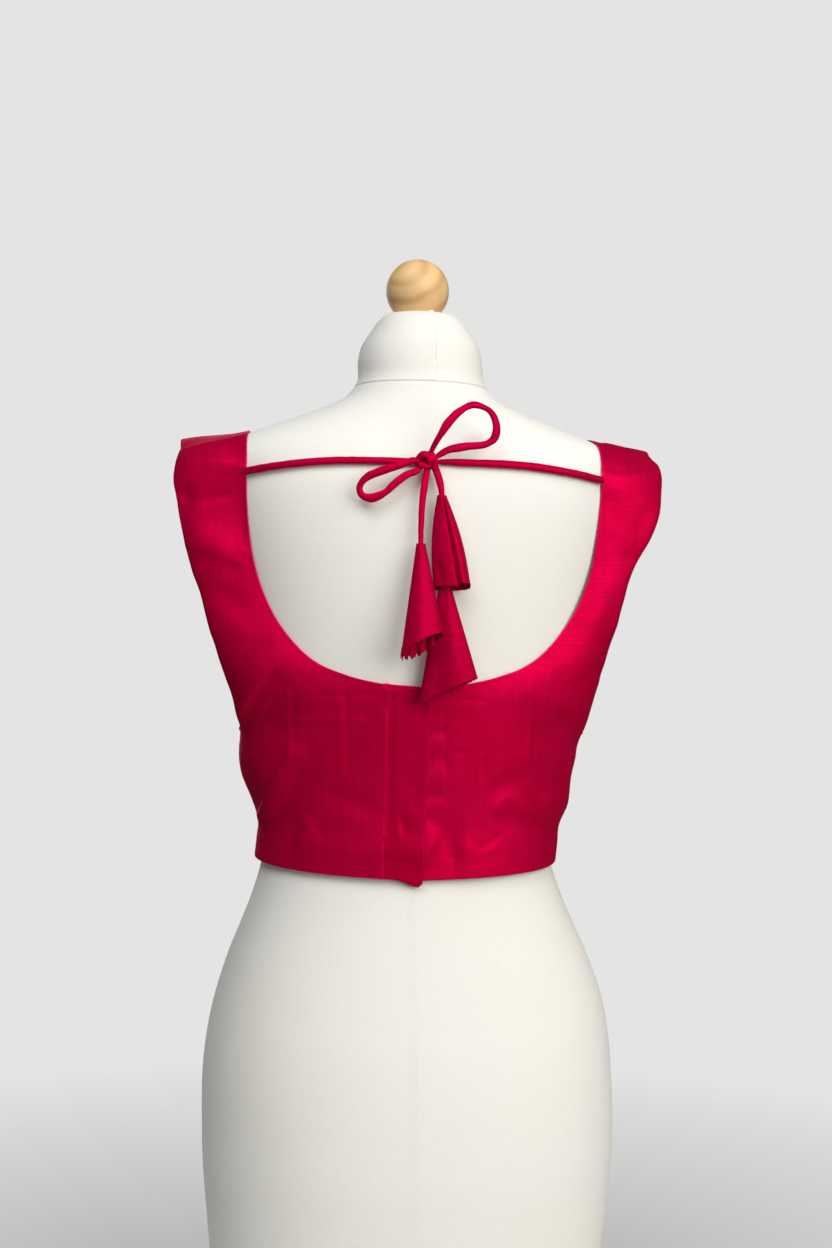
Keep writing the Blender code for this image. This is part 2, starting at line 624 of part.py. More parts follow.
# Finial: a turned ball, cut flat where it sits on the neck
bpy.ops.mesh.primitive_uv_sphere_add(segments=24, ring_count=14, radius=BALL_RADIUS,
                                     location=(-0.004, 0.0, BALL_HEIGHT))
finial = bpy.context.active_object
finial.name = "form_finial"
bm = bmesh.new()
bm.from_mesh(finial.data)
cut = bmesh.ops.bisect_plane(bm, geom=bm.verts[:] + bm.edges[:] + bm.faces[:], dist=0.00001,
                             plane_co=(0, 0, 0.9658 - BALL_HEIGHT), plane_no=(0, 0, -1),
                             clear_outer=True)
rim = [e for e in cut["geom_cut"] if isinstance(e, bmesh.types.BMEdge)]
bmesh.ops.contextual_create(bm, geom=rim)
bmesh.ops.recalc_face_normals(bm, faces=bm.faces)
bm.to_mesh(finial.data)
bm.free()
finial.data.shade_smooth()
finial.data.set_sharp_from_angle(angle=math.radians(50))
dress(finial, "beech")

# Stand: a turned base and a pole up to the form
bpy.ops.mesh.primitive_cylinder_add(vertices=56, radius=BASE_RADIUS, depth=BASE_THICK,
                                    location=(0, 0, BASE_THICK / 2))
base = bpy.context.active_object
base.name = "form_base"
edge = base.modifiers.new("edge", "BEVEL")
edge.width = 0.004
edge.segments = 2
edge.limit_method = "ANGLE"
edge.angle_limit = math.radians(50)
base.data.shade_smooth()
base.data.set_sharp_from_angle(angle=math.radians(40))
dress(base, "beech")

pole_low, pole_high = BASE_THICK + 0.0003, FORM_ROWS[0].z - 0.0003
bpy.ops.mesh.primitive_cylinder_add(vertices=24, radius=POLE_RADIUS, depth=pole_high - pole_low,
                                    location=(0, 0, 0.5 * (pole_low + pole_high)))
pole = bpy.context.active_object
pole.name = "form_pole"
pole.data.shade_smooth()
pole.data.set_sharp_from_angle(angle=math.radians(40))
dress(pole, "beech")
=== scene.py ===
import math
import random
from collections import namedtuple

import bmesh
import bpy
from mathutils import Matrix, Vector, noise
from mathutils.bvhtree import BVHTree
from mathutils.kdtree import KDTree


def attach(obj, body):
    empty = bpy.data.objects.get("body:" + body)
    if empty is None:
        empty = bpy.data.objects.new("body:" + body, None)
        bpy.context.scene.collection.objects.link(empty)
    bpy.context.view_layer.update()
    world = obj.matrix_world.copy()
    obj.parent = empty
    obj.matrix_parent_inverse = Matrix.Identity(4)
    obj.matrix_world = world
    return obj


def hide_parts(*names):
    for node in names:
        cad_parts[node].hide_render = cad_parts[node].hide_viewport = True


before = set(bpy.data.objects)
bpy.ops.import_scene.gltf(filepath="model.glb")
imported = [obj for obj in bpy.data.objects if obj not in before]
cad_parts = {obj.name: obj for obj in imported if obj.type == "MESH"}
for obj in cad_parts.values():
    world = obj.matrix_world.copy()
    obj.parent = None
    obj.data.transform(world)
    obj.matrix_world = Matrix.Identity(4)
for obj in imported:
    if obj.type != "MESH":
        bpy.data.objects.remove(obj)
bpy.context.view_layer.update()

scene = bpy.context.scene
scene.view_settings.view_transform = "Standard"

# Camera, at the photograph's place: behind the form and a little to its left
shot = {"far": 1.35, "height": 0.7098, "turn": -4.0, "roll": 1.09, "focal": 1620.0,
        "wide": 832, "tall": 1248}

swing, roll = math.radians(shot["turn"]), math.radians(shot["roll"])
shotPlace = Vector((math.sin(swing) * shot["far"], -math.cos(swing) * shot["far"], shot["height"]))
shotAhead = Vector((-math.sin(swing), math.cos(swing), 0.0))
levelRight = Vector((math.cos(swing), math.sin(swing), 0.0))
shotRight = levelRight * math.cos(roll) + Vector((0, 0, 1)) * math.sin(roll)
shotUp = -levelRight * math.sin(roll) + Vector((0, 0, 1)) * math.cos(roll)


def photoSpot(point):
    away = Vector(point) - shotPlace
    scale = shot["focal"] / away.dot(shotAhead)
    return (shot["wide"] / 2 + scale * away.dot(shotRight), shot["tall"] / 2 - scale * away.dot(shotUp))


frontLevel = 0.71       # creases of the front are measured down from this height


def frontSpot(point):
    # millimetres across and down
    return (point[0] * 1000, (frontLevel - point[2]) * 1000)


cameraData = bpy.data.cameras.new("camera")
cameraData.sensor_width = 36
cameraData.lens = 36 * shot["focal"] / shot["tall"]      # the sensor lies along the long side
camera = bpy.data.objects.new("camera", cameraData)
scene.collection.objects.link(camera)
turned = Matrix((shotRight, shotUp, -shotAhead)).transposed().to_4x4()
camera.matrix_world = Matrix.Translation(shotPlace) @ turned
scene.camera = camera
print("camera placed")

# Sections of the form: height, half breadth, depths behind and in front, sideways shift
FormRow = namedtuple("FormRow", "z half back front shift")
formRows = [FormRow(*row) for row in [
    (0.13, 0.15, 0.106, 0.096, 0), (0.16, 0.157, 0.113, 0.1, 0),
    (0.195, 0.162, 0.119, 0.104, 0.001), (0.262, 0.1687, 0.1245, 0.108, 0.001),
    (0.3, 0.1702, 0.1245, 0.109, 0.001), (0.34, 0.1695, 0.121, 0.108, 0),
    (0.374, 0.1662, 0.115, 0.106, 0), (0.404, 0.1602, 0.107, 0.103, 0),
    (0.436, 0.1495, 0.098, 0.0985, -0.001), (0.461, 0.1388, 0.091, 0.0945, -0.002),
    (0.487, 0.1283, 0.085, 0.0915, -0.003), (0.513, 0.1203, 0.0815, 0.09, -0.004),
    (0.54, 0.118, 0.0805, 0.0915, -0.004), (0.57, 0.1225, 0.082, 0.097, -0.003),
    (0.6, 0.1285, 0.0845, 0.103, -0.003), (0.63, 0.134, 0.0875, 0.108, -0.002),
    (0.665, 0.1395, 0.0905, 0.111, -0.001), (0.7, 0.1455, 0.0928, 0.111, 0),
    (0.74, 0.153, 0.095, 0.108, 0), (0.775, 0.161, 0.0955, 0.102, 0),
    (0.805, 0.168, 0.094, 0.093, 0), (0.825, 0.1715, 0.091, 0.086, 0),
    (0.84, 0.172, 0.086, 0.078, 0), (0.85, 0.167, 0.081, 0.071, 0),
    (0.858, 0.156, 0.076, 0.065, 0), (0.866, 0.137, 0.0705, 0.0585, 0),
    (0.874, 0.115, 0.066, 0.053, 0), (0.882, 0.093, 0.0625, 0.049, 0),
    (0.889, 0.076, 0.06, 0.0465, 0), (0.8955, 0.064, 0.0575, 0.045, 0),
    (0.9045, 0.0553, 0.0545, 0.044, 0)]]
neckRows = [FormRow(*row) for row in [
    (0.9049, 0.055, 0.054, 0.044, 0), (0.913, 0.0522, 0.0505, 0.0435, 0),
    (0.9258, 0.0517, 0.0485, 0.0435, -0.001), (0.937, 0.0498, 0.046, 0.043, -0.001),
    (0.945, 0.0458, 0.0425, 0.0405, -0.001), (0.952, 0.0412, 0.0385, 0.037, -0.001),
    (0.9585, 0.037, 0.0345, 0.034, -0.001), (0.9635, 0.032, 0.03, 0.03, -0.001),
    (0.9655, 0.0285, 0.0265, 0.027, -0.001)]]

# Rows of a back panel, hem to shoulder seam, each from the centre or neckline out to the side
PanelRow = namedtuple("PanelRow", "inRight inLeft inZ inY outRight outLeft outZ outY full")
backRows = [PanelRow(*row) for row in [
    (0, 0, 0.5095, -0.0868, 0.12, 0.1303, 0.5165, 0, 1),
    (0, 0, 0.527, -0.085, 0.1213, 0.129, 0.531, 0, 1),
    (0, 0, 0.546, -0.0845, 0.1225, 0.128, 0.546, 0, 1),
    (0, 0, 0.566, -0.086, 0.1295, 0.1335, 0.563, 0, 1),
    (0, 0, 0.59, -0.088, 0.1315, 0.1425, 0.584, 0, 1),
    (0, 0, 0.616, -0.0905, 0.1355, 0.1448, 0.603, 0, 1),
    (0, 0, 0.641, -0.0925, 0.1392, 0.1437, 0.619, 0, 1),
    (0, 0, 0.661, -0.0938, 0.1398, 0.1442, 0.6228, -0.014, 1),
    (0.035, 0.037, 0.6637, -0.0915, 0.1408, 0.1458, 0.6315, -0.025, 1),
    (0.061, 0.062, 0.67, -0.0872, 0.1428, 0.149, 0.645, -0.033, 1),
    (0.083, 0.083, 0.679, -0.0812, 0.1468, 0.156, 0.663, -0.039, 0.98),
    (0.1005, 0.099, 0.692, -0.0742, 0.1535, 0.164, 0.685, -0.043, 0.95),
    (0.1165, 0.1145, 0.711, -0.0675, 0.1612, 0.1715, 0.71, -0.045, 0.9),
    (0.129, 0.126, 0.733, -0.062, 0.1672, 0.1772, 0.735, -0.046, 0.85),
    (0.1375, 0.134, 0.757, -0.059, 0.1765, 0.1855, 0.758, -0.045, 0.8),
    (0.1415, 0.138, 0.783, -0.0575, 0.1885, 0.1925, 0.782, -0.042, 0.75),
    (0.1435, 0.1397, 0.807, -0.057, 0.1965, 0.1972, 0.804, -0.037, 0.7),
    (0.1442, 0.1402, 0.827, -0.0565, 0.199, 0.2008, 0.822, -0.03, 0.65),
    (0.1445, 0.1405, 0.843, -0.0525, 0.1998, 0.2002, 0.8355, -0.023, 0.6),
    (0.144, 0.1408, 0.856, -0.04, 0.1978, 0.1982, 0.8455, -0.016, 0.55),
    (0.1425, 0.1408, 0.8645, -0.0225, 0.195, 0.1965, 0.851, -0.01, 0.5),
    (0.1405, 0.1405, 0.8678, -0.006, 0.1935, 0.1958, 0.8545, -0.006, 0.5)]]
frontRows = [PanelRow(*row) for row in [
    (0, 0, 0.511, 0.094, 0.12, 0.1303, 0.5165, 0, 1),
    (0, 0, 0.529, 0.0945, 0.1213, 0.129, 0.531, 0, 1),
    (0, 0, 0.548, 0.0965, 0.1225, 0.128, 0.546, 0, 1),
    (0, 0, 0.57, 0.1005, 0.1295, 0.1335, 0.563, 0, 1),
    (0, 0, 0.598, 0.1065, 0.1315, 0.1425, 0.584, 0, 1),
    (0, 0, 0.629, 0.1125, 0.1355, 0.1448, 0.603, 0, 1),
    (0, 0, 0.662, 0.117, 0.1392, 0.1437, 0.619, 0, 1),
    (0, 0, 0.695, 0.1185, 0.14, 0.1443, 0.6235, 0.016, 1),
    (0, 0, 0.728, 0.1155, 0.142, 0.1468, 0.636, 0.031, 1),
    (0, 0, 0.758, 0.11, 0.145, 0.152, 0.656, 0.042, 1),
    (0.031, 0.031, 0.7605, 0.109, 0.15, 0.1585, 0.682, 0.05, 1),
    (0.059, 0.059, 0.769, 0.1045, 0.156, 0.1655, 0.709, 0.056, 1),
    (0.083, 0.083, 0.783, 0.0945, 0.1625, 0.172, 0.737, 0.06, 0.96),
    (0.103, 0.103, 0.801, 0.082, 0.172, 0.179, 0.764, 0.062, 0.9),
    (0.119, 0.119, 0.82, 0.0705, 0.183, 0.188, 0.792, 0.061, 0.84),
    (0.13, 0.13, 0.837, 0.06, 0.192, 0.195, 0.818, 0.057, 0.76),
    (0.136, 0.136, 0.851, 0.048, 0.196, 0.199, 0.838, 0.049, 0.68),
    (0.1385, 0.1385, 0.86, 0.032, 0.1965, 0.2, 0.852, 0.039, 0.6),
    (0.1398, 0.1398, 0.8655, 0.019, 0.196, 0.1995, 0.8595, 0.027, 0.55),
    (0.1405, 0.1405, 0.868, 0.006, 0.195, 0.198, 0.86, 0.012, 0.5),
    (0.1405, 0.1405, 0.8678, -0.006, 0.1935, 0.1958, 0.8545, -0.006, 0.5)]]

# What the tables share: the solids' wall and its rest on the form, fullness, bust, the rows at which
# the necklines and the armhole start, and the height over which rows lie closer together
cut = {"wall": 0.0016, "rest": 0.0007, "full": 0.82, "backNeck": 7, "frontNeck": 9, "armhole": 6.0,
       "bustX": 0.068, "bustZ": 0.697, "bustOut": 0.024, "bustWide": 0.043, "bustTall": 0.047,
       "shoulder": 0.835, "shoulderRows": 1.8}


def smoothValue(p0, p1, p2, p3, t):
    return 0.5 * (2 * p1 + (p2 - p0) * t + (2 * p0 - 5 * p1 + 4 * p2 - p3) * t * t
                  + (3 * p1 - p0 - 3 * p2 + p3) * t ** 3)


def rowAt(rows, place):
    last = len(rows) - 1
    i = min(max(int(math.floor(place)), 0), last - 1)
    t = place - i
    neckRow = cut["backNeck"] if rows is backRows else cut["frontNeck"] if rows is frontRows else -9
    values = []
    for k in range(len(rows[0])):
        p1, p2 = rows[i][k], rows[i + 1][k]
        p0 = rows[i - 1][k] if i > 0 else 2 * p1 - p2
        p3 = rows[i + 2][k] if i < last - 1 else 2 * p2 - p1
        if k < 4 and i == neckRow:
            p0 = 2 * p1 - p2 if k < 2 else p2
        if k < 4 and i == neckRow - 1:
            p3 = 2 * p2 - p1
        if k in (6, 7) and neckRow > 0 and i == 6:      # the armhole starts level at the side seam
            p0 = p2 if k == 6 else 2 * p1 - p2
        if k in (6, 7) and neckRow > 0 and i == 5:
            p3 = 2 * p2 - p1
        values.append(smoothValue(p0, p1, p2, p3, t) if 0 <= t <= 1 else p1 + (p2 - p1) * t)
    return type(rows[0])(*values)


def runOf(steps, start=0.0):
    # running total of the steps
    run = [start]
    for step in steps:
        run.append(run[-1] + step)
    return run


def evenParts(run, count):
    # evenly spaced places on a running total: the number of the step and the share of it
    parts, j = [], 0
    for k in range(count):
        want = run[-1] * k / (count - 1)
        while j < len(run) - 2 and run[j + 1] < want:
            j += 1
        parts.append((j, (want - run[j]) / max(run[j + 1] - run[j], 1e-9)))
    return parts


def lengthsOf(points):
    return [(b - a).length for a, b in zip(points, points[1:])]


def lengthOf(path):
    return sum(lengthsOf(path))


def spread(points, count):
    # evenly spaced points along a run of points
    return [points[j].lerp(points[j + 1], min(part, 1.0))
            for j, part in evenParts(runOf(lengthsOf(points)), count)]


def gridFaces(rows, wide, closed=False, start=0):
    # four sided faces over rows of points; a closed grid joins its last column to its first
    faces = []
    for j in range(rows - 1):
        for i in range(wide if closed else wide - 1):
            a = start + j * wide + i
            b = start + j * wide + (i + 1) % wide
            faces.append((a, b, b + wide, a + wide))
    return faces


def route(points, count):
    points = [Vector(p) for p in points]
    fine = []
    for i in range(len(points) - 1):
        p1, p2 = points[i], points[i + 1]
        p0 = points[i - 1] if i > 0 else 2 * p1 - p2
        p3 = points[i + 2] if i < len(points) - 2 else 2 * p2 - p1
        fine += [smoothValue(p0, p1, p2, p3, k / 24) for k in range(24)]
    fine.append(points[-1])
    return spread(fine, count)


def arc(start, end, corner, weight, t):
    a, b, c = (1 - t) ** 2, 2 * t * (1 - t) * weight, t * t
    return (start * a + corner * b + end * c) / (a + b + c)


def bustAt(x, z):
    across = (abs(x) - cut["bustX"]) / cut["bustWide"]
    up = (z - cut["bustZ"]) / (cut["bustTall"] * (0.85 if z < cut["bustZ"] else 1.25))
    return cut["bustOut"] * math.exp(-across * across - up * up)


def formPoint(row, turn):
    quarter, t = int(turn) % 4, turn - int(turn)
    sides = [Vector((0, -row.back, 0)), Vector((row.half, 0, 0)),
             Vector((0, row.front, 0)), Vector((-row.half, 0, 0))]
    start, end = sides[quarter], sides[(quarter + 1) % 4]
    point = arc(start, end, start + end, cut["full"], t)
    if point.y > 0:
        point.y += bustAt(point.x, row.z) * min(1.0, point.y / 0.05)
    return point + Vector((row.shift, 0, row.z))


def evenPlaces(rows, count, stepOf):
    # places in a table of rows, evenly spaced by a measure of the step between two rows
    fine = [k / 20 for k in range((len(rows) - 1) * 20 + 1)]
    read = [rowAt(rows, f) for f in fine]
    run = runOf(stepOf(a, b) for a, b in zip(read, read[1:]))
    return [min(fine[j] + (fine[j + 1] - fine[j]) * part, len(rows) - 1)
            for j, part in evenParts(run, count)]


def formStep(a, b):
    return math.hypot(b.z - a.z, b.half - a.half)


def panelStep(a, b):
    # the mean of the step along the neckline and the step along the armhole
    stepIn = math.dist((a.inRight, a.inY, a.inZ), (b.inRight, b.inY, b.inZ))
    stepOut = math.dist((a.outRight, a.outY, a.outZ), (b.outRight, b.outY, b.outZ))
    return 0.5 * (stepIn + stepOut)


def shoulderStep(a, b):
    return panelStep(a, b) * (cut["shoulderRows"] if a.inZ > cut["shoulder"] else 1.0)


# A skin of the form, to lay the cloth and the cords on
skinCount = 200
skinPoints = [formPoint(rowAt(formRows, place), 4 * i / skinCount)
              for place in evenPlaces(formRows, skinCount, formStep) for i in range(skinCount)]
skin = BVHTree.FromPolygons(skinPoints, gridFaces(skinCount, skinCount, True))


def layOnForm(point, gap, ease=0.0012):
    spot, normal, _, _ = skin.find_nearest(point)
    far = (point - spot).dot(normal)
    if far > gap + ease:
        return point
    wanted = gap if far < gap - ease else gap + (far - gap + ease) ** 2 / (4 * ease)
    return point + normal * (wanted - far)


def panelPoint(rows, place, side, t):
    row = rowAt(rows, place)
    inner = Vector((row.inRight if side > 0 else -row.inLeft, row.inY, row.inZ))
    outer = Vector((row.outRight if side > 0 else -row.outLeft, row.outY, row.outZ))
    slope = 1 - math.sqrt(max(0.0, 1 - inner.x / outer.x))
    corner = Vector((outer.x, inner.y, 0.5 * (inner.z + outer.z)))
    corner.y += (outer.y - inner.y) * slope / (1 + slope)
    corner = (0.5 * (inner + outer)).lerp(corner, row.full)
    point = arc(inner, outer, corner, cut["full"], t)
    if rows is frontRows:
        point.y += bustAt(point.x, point.z) * min(1.0, max(point.y, 0.0) / 0.05)
    return layOnForm(point, cut["wall"] + cut["rest"], 0.0040)


print("tables and the form's skin read")


# Materials

def newMaterial(name):
    material = bpy.data.materials.new(name)
    material.use_nodes = True
    tree = material.node_tree
    return material, tree, tree.nodes["Principled BSDF"]


def setSockets(node, **values):
    for key, value in values.items():
        node.inputs[key.replace("_", " ")].default_value = value


def addNode(tree, kind, settings=None, **values):
    node = tree.nodes.new(kind)
    for key, value in (settings or {}).items():
        setattr(node, key, value)
    setSockets(node, **values)
    return node


def mapped(tree, source, scale, turn=(0, 0, 0)):
    node = addNode(tree, "ShaderNodeMapping", Scale=scale, Rotation=turn)
    tree.links.new(source, node.inputs["Vector"])
    return node.outputs["Vector"]


def noiseOf(tree, vector, scale, detail=2.0, rough=0.5, distort=0.0):
    node = addNode(tree, "ShaderNodeTexNoise", Scale=scale, Detail=detail, Roughness=rough,
                   Distortion=distort)
    tree.links.new(vector, node.inputs["Vector"])
    return node.outputs["Fac"]


def ranged(tree, value, low, high, toLow=0.0, toHigh=1.0):
    node = addNode(tree, "ShaderNodeMapRange", From_Min=low, From_Max=high, To_Min=toLow, To_Max=toHigh)
    tree.links.new(value, node.inputs["Value"])
    return node.outputs["Result"]


def mixed(tree, factor, a, b):
    node = addNode(tree, "ShaderNodeMix", {"data_type": "RGBA"})
    tree.links.new(factor, node.inputs[0])
    for socket, value in ((node.inputs[6], a), (node.inputs[7], b)):
        if isinstance(value, tuple):
            socket.default_value = (*value, 1.0)
        else:
            tree.links.new(value, socket)
    return node.outputs[2]


def tinted(tree, colour, tint, value, low, high, share):
    # lays up to that share of the tint over the colour, as the value goes from low to high
    return mixed(tree, ranged(tree, value, low, high, 0.0, share), colour, tint)


def bumped(tree, height, strength, distance, normal=None):
    node = addNode(tree, "ShaderNodeBump", Strength=strength, Distance=distance)
    tree.links.new(height, node.inputs["Height"])
    if normal is not None:
        tree.links.new(normal, node.inputs["Normal"])
    return node.outputs["Normal"]


# Satin: threads run along the piece's own map, which is in metres
satinLook = {"deep": (0.42, 0.0003, 0.021), "lit": (0.60, 0.0005, 0.056), "edgeHighlight": (0.78, 0.012, 0.110),
             "rough": 0.47, "metal": 0.40, "glossTint": (1.0, 0.02, 0.30),
             "sheen": 0.05, "sheenRough": 0.38, "sheenTint": (0.80, 0.02, 0.34),
             "threads": (2300, 70, 1), "slubs": (28, 700, 1), "streaks": (240, 16, 1)}


def satin(name, tone=1.0, gloss=0.03, bias=0.0, dull=0.0):
    material, tree, shader = newMaterial(name)
    links = tree.links
    uv = addNode(tree, "ShaderNodeUVMap", {"uv_map": "cloth"}).outputs["UV"]
    cloud = noiseOf(tree, mapped(tree, uv, (1, 1, 1)), 16.0, 3.0)
    slubs = noiseOf(tree, mapped(tree, uv, satinLook["slubs"], (0, 0, bias)), 1.0, 2.0)
    threads = noiseOf(tree, mapped(tree, uv, satinLook["threads"], (0, 0, bias)), 1.0, 1.0)
    streaks = noiseOf(tree, mapped(tree, uv, satinLook["streaks"], (0, 0, bias)), 1.0, 3.0)
    deep = tuple(c * tone for c in satinLook["deep"])
    lit = tuple(c * tone for c in satinLook["lit"])
    cloth = mixed(tree, ranged(tree, cloud, 0.30, 0.70, 0.35, 0.85), deep, lit)
    cloth = tinted(tree, cloth, deep, slubs, 0.40, 0.78, 0.45)
    cloth = tinted(tree, cloth, deep, streaks, 0.42, 0.72, 0.50)
    cloth = tinted(tree, cloth, lit, threads, 0.35, 0.75, 0.30)
    # a painted highlight: the edge attribute lays a lighter pink along turned edges, cut rims and loose
    # threads
    edge = addNode(tree, "ShaderNodeAttribute", {"attribute_name": "edge"}).outputs["Fac"]
    links.new(tinted(tree, cloth, satinLook["edgeHighlight"], edge, 0.0, 1.0, 0.60), shader.inputs["Base Color"])
    rough = satinLook["rough"] + dull
    links.new(ranged(tree, slubs, 0.2, 0.8, rough - 0.06, rough + 0.10), shader.inputs["Roughness"])
    # satin throws back its own colour, as a metal does
    setSockets(shader, Metallic=satinLook["metal"], Specular_IOR_Level=gloss,
               Specular_Tint=(*satinLook["glossTint"], 1.0), Sheen_Weight=satinLook["sheen"],
               Sheen_Roughness=satinLook["sheenRough"], Sheen_Tint=(*satinLook["sheenTint"], 1.0))
    normal = bumped(tree, threads, 0.35, 0.00012)
    normal = bumped(tree, slubs, 0.30, 0.00022, normal)
    normal = bumped(tree, noiseOf(tree, uv, 75.0, 3.0, 0.55), 0.22, 0.0012, normal)
    links.new(normal, shader.inputs["Normal"])
    return material


# Jersey of the form: fine knit ribs, a soft pile, and a few specks of lint
jerseyLook = {"base": (0.86, 0.845, 0.785), "warm": (0.84, 0.815, 0.735), "pile": (0.78, 0.76, 0.69),
              "speck": (0.55, 0.52, 0.46), "wales": 480.0, "courses": 420.0, "rough": 0.88}


def knitRibs(tree, uv, direction, scale):
    node = addNode(tree, "ShaderNodeTexWave", {"bands_direction": direction}, Scale=scale,
                   Distortion=1.2, Detail=1.0)
    tree.links.new(uv, node.inputs["Vector"])
    return node.outputs["Fac"]


def jersey(name):
    material, tree, shader = newMaterial(name)
    place = addNode(tree, "ShaderNodeTexCoord").outputs["Object"]
    cloud = noiseOf(tree, place, 5.0, 3.0)
    pile = noiseOf(tree, place, 330.0, 2.0, 0.6)
    lint = noiseOf(tree, place, 430.0, 0.0, 0.3)
    colour = tinted(tree, jerseyLook["base"], jerseyLook["warm"], cloud, 0.35, 0.70, 1.0)
    colour = tinted(tree, colour, jerseyLook["pile"], pile, 0.35, 0.70, 0.22)
    colour = tinted(tree, colour, jerseyLook["speck"], lint, 0.865, 0.885, 0.35)
    tree.links.new(colour, shader.inputs["Base Color"])
    uv = addNode(tree, "ShaderNodeUVMap", {"uv_map": "cloth"}).outputs["UV"]
    normal = bumped(tree, knitRibs(tree, uv, "X", jerseyLook["wales"]), 0.30, 0.00012)
    normal = bumped(tree, knitRibs(tree, uv, "Y", jerseyLook["courses"]), 0.22, 0.00010, normal)
    tree.links.new(bumped(tree, pile, 0.16, 0.0005, normal), shader.inputs["Normal"])
    setSockets(shader, Roughness=jerseyLook["rough"], Specular_IOR_Level=0.25, Sheen_Weight=0.18,
               Sheen_Roughness=0.5)
    return material


# Beech: growth rings of a turned block, short pores, a waxed finish
beechLook = {"pale": (0.86, 0.57, 0.27), "ring": (0.60, 0.335, 0.130), "pore": (0.42, 0.21, 0.08)}


def beech(name, heart, ringScale, turn, stretch, strength, bend):
    material, tree, shader = newMaterial(name)
    links = tree.links
    place = addNode(tree, "ShaderNodeTexCoord").outputs["Object"]
    node = addNode(tree, "ShaderNodeMapping", Location=tuple(-c for c in heart))
    links.new(place, node.inputs["Vector"])
    grain = mapped(tree, node.outputs["Vector"], stretch, turn)
    rings = addNode(tree, "ShaderNodeTexWave", {"wave_type": "RINGS", "rings_direction": "Z"},
                    Scale=ringScale, Distortion=bend, Detail=2.0, Detail_Scale=1.6)
    links.new(grain, rings.inputs["Vector"])
    pores = noiseOf(tree, mapped(tree, grain, (900, 900, 120)), 1.0, 2.0)
    fibres = noiseOf(tree, rings.outputs["Fac"], 9.0, 3.0)
    tone = noiseOf(tree, place, 22.0, 2.0)
    colour = tinted(tree, beechLook["pale"], beechLook["ring"], rings.outputs["Fac"], 0.35, 1.0,
                    strength)
    colour = tinted(tree, colour, beechLook["ring"], fibres, 0.35, 0.70, 0.28)
    colour = tinted(tree, colour, beechLook["ring"], tone, 0.4, 0.8, 0.25)
    colour = tinted(tree, colour, beechLook["pore"], pores, 0.66, 0.80, 0.45)
    links.new(colour, shader.inputs["Base Color"])
    links.new(ranged(tree, pores, 0.3, 0.8, 0.36, 0.55), shader.inputs["Roughness"])
    links.new(bumped(tree, pores, 0.25, 0.0002), shader.inputs["Normal"])
    setSockets(shader, Specular_IOR_Level=0.42)
    return material


panelSatin = satin("panelSatin")
bandSatin = satin("bandSatin", 0.93)
cordSatin = satin("cordSatin", 0.95, 0.03, 0.6, 0.08)
latkanSatin = satin("latkanSatin", 0.80, dull=0.06)
formJersey = jersey("formJersey")
ballBeech = beech("ballBeech", (-0.026, -0.010, 1.014), 21.0, (1.25, 0.45, 0.0), (1.0, 0.6, 1.1), 0.60, 2.4)
standBeech = beech("standBeech", (0.10, 0.30, -0.12), 15.0, (0.0, 1.3, 0.3), (1.0, 1.0, 0.45), 0.30, 5.0)
print("materials made")


# Helpers for meshes

def newPiece(name, verts, faces, material, uvs=None, edge=None):
    mesh = bpy.data.meshes.new(name)
    mesh.from_pydata([tuple(v) for v in verts], [], faces)
    if uvs is not None:
        layer = mesh.uv_layers.new(name="cloth")
        for loop in mesh.loops:
            layer.data[loop.index].uv = uvs[loop.vertex_index]
    # the edge attribute holds each point's share of the painted highlight that the satin lays on
    if edge is not None:
        attribute = mesh.attributes.new("edge", "FLOAT", "POINT")
        attribute.data.foreach_set("value", edge)
    mesh.materials.append(material)
    mesh.shade_smooth()
    obj = bpy.data.objects.new(name, mesh)
    scene.collection.objects.link(obj)
    return obj


def pick(*objects):
    bpy.ops.object.select_all(action="DESELECT")
    for obj in objects:
        obj.select_set(True)
    bpy.context.view_layer.objects.active = objects[0]


def applyModifiers(obj):
    pick(obj)
    for modifier in list(obj.modifiers):
        bpy.ops.object.modifier_apply(modifier=modifier.name)


def facesOutward(obj):
    bm = bmesh.new()
    bm.from_mesh(obj.data)
    bmesh.ops.recalc_face_normals(bm, faces=bm.faces)
    bm.to_mesh(obj.data)
    bm.free()


def turnOutward(obj):
    # a closed shape's volume is negative when its faces look in
    bm = bmesh.new()
    bm.from_mesh(obj.data)
    volume = bm.calc_volume(signed=True)
    bm.free()
    if volume < 0:
        obj.data.flip_normals()


def seat(obj, slot, *nodes):
    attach(obj, "root")
    if nodes:
        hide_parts(*nodes)


def smoothStep(value):
    value = min(max(value, 0.0), 1.0)
    return value * value * (3 - 2 * value)


# Cords: flat tubes of bias cloth with a seam along them. The ties start just beside the neckline
tieLook = {"radius": 0.0029, "gap": 0.0005, "row": 17.05, "beside": 0.0009, "level": 0.8360, "stops": 7}
knotLook = {"centre": Vector((-0.0010, -0.0962, 0.8362)), "size": (0.0076, 0.0060, 0.0062),
            "core": 0.86, "rows": 14, "around": 24}
knotWays = {"tieLeft": (-1.00, 0.55, -0.10), "tieRight": (1.00, 0.55, -0.10),
            "upperOut": (0.42, -0.45, 0.80), "upperBack": (0.92, -0.10, 0.38),
            "lowerOut": (-0.93, -0.55, -0.05), "lowerBack": (-0.62, -0.35, -0.70),
            "endLeft": (0.10, -0.35, -0.93), "endRight": (0.75, -0.35, -0.55)}


def knotSpot(way, gap=0.0006):
    way = Vector(knotWays[way]).normalized()
    reach = 1 / math.sqrt(sum((way[k] / knotLook["size"][k]) ** 2 for k in range(3)))
    return knotLook["centre"] + way * (reach + gap)


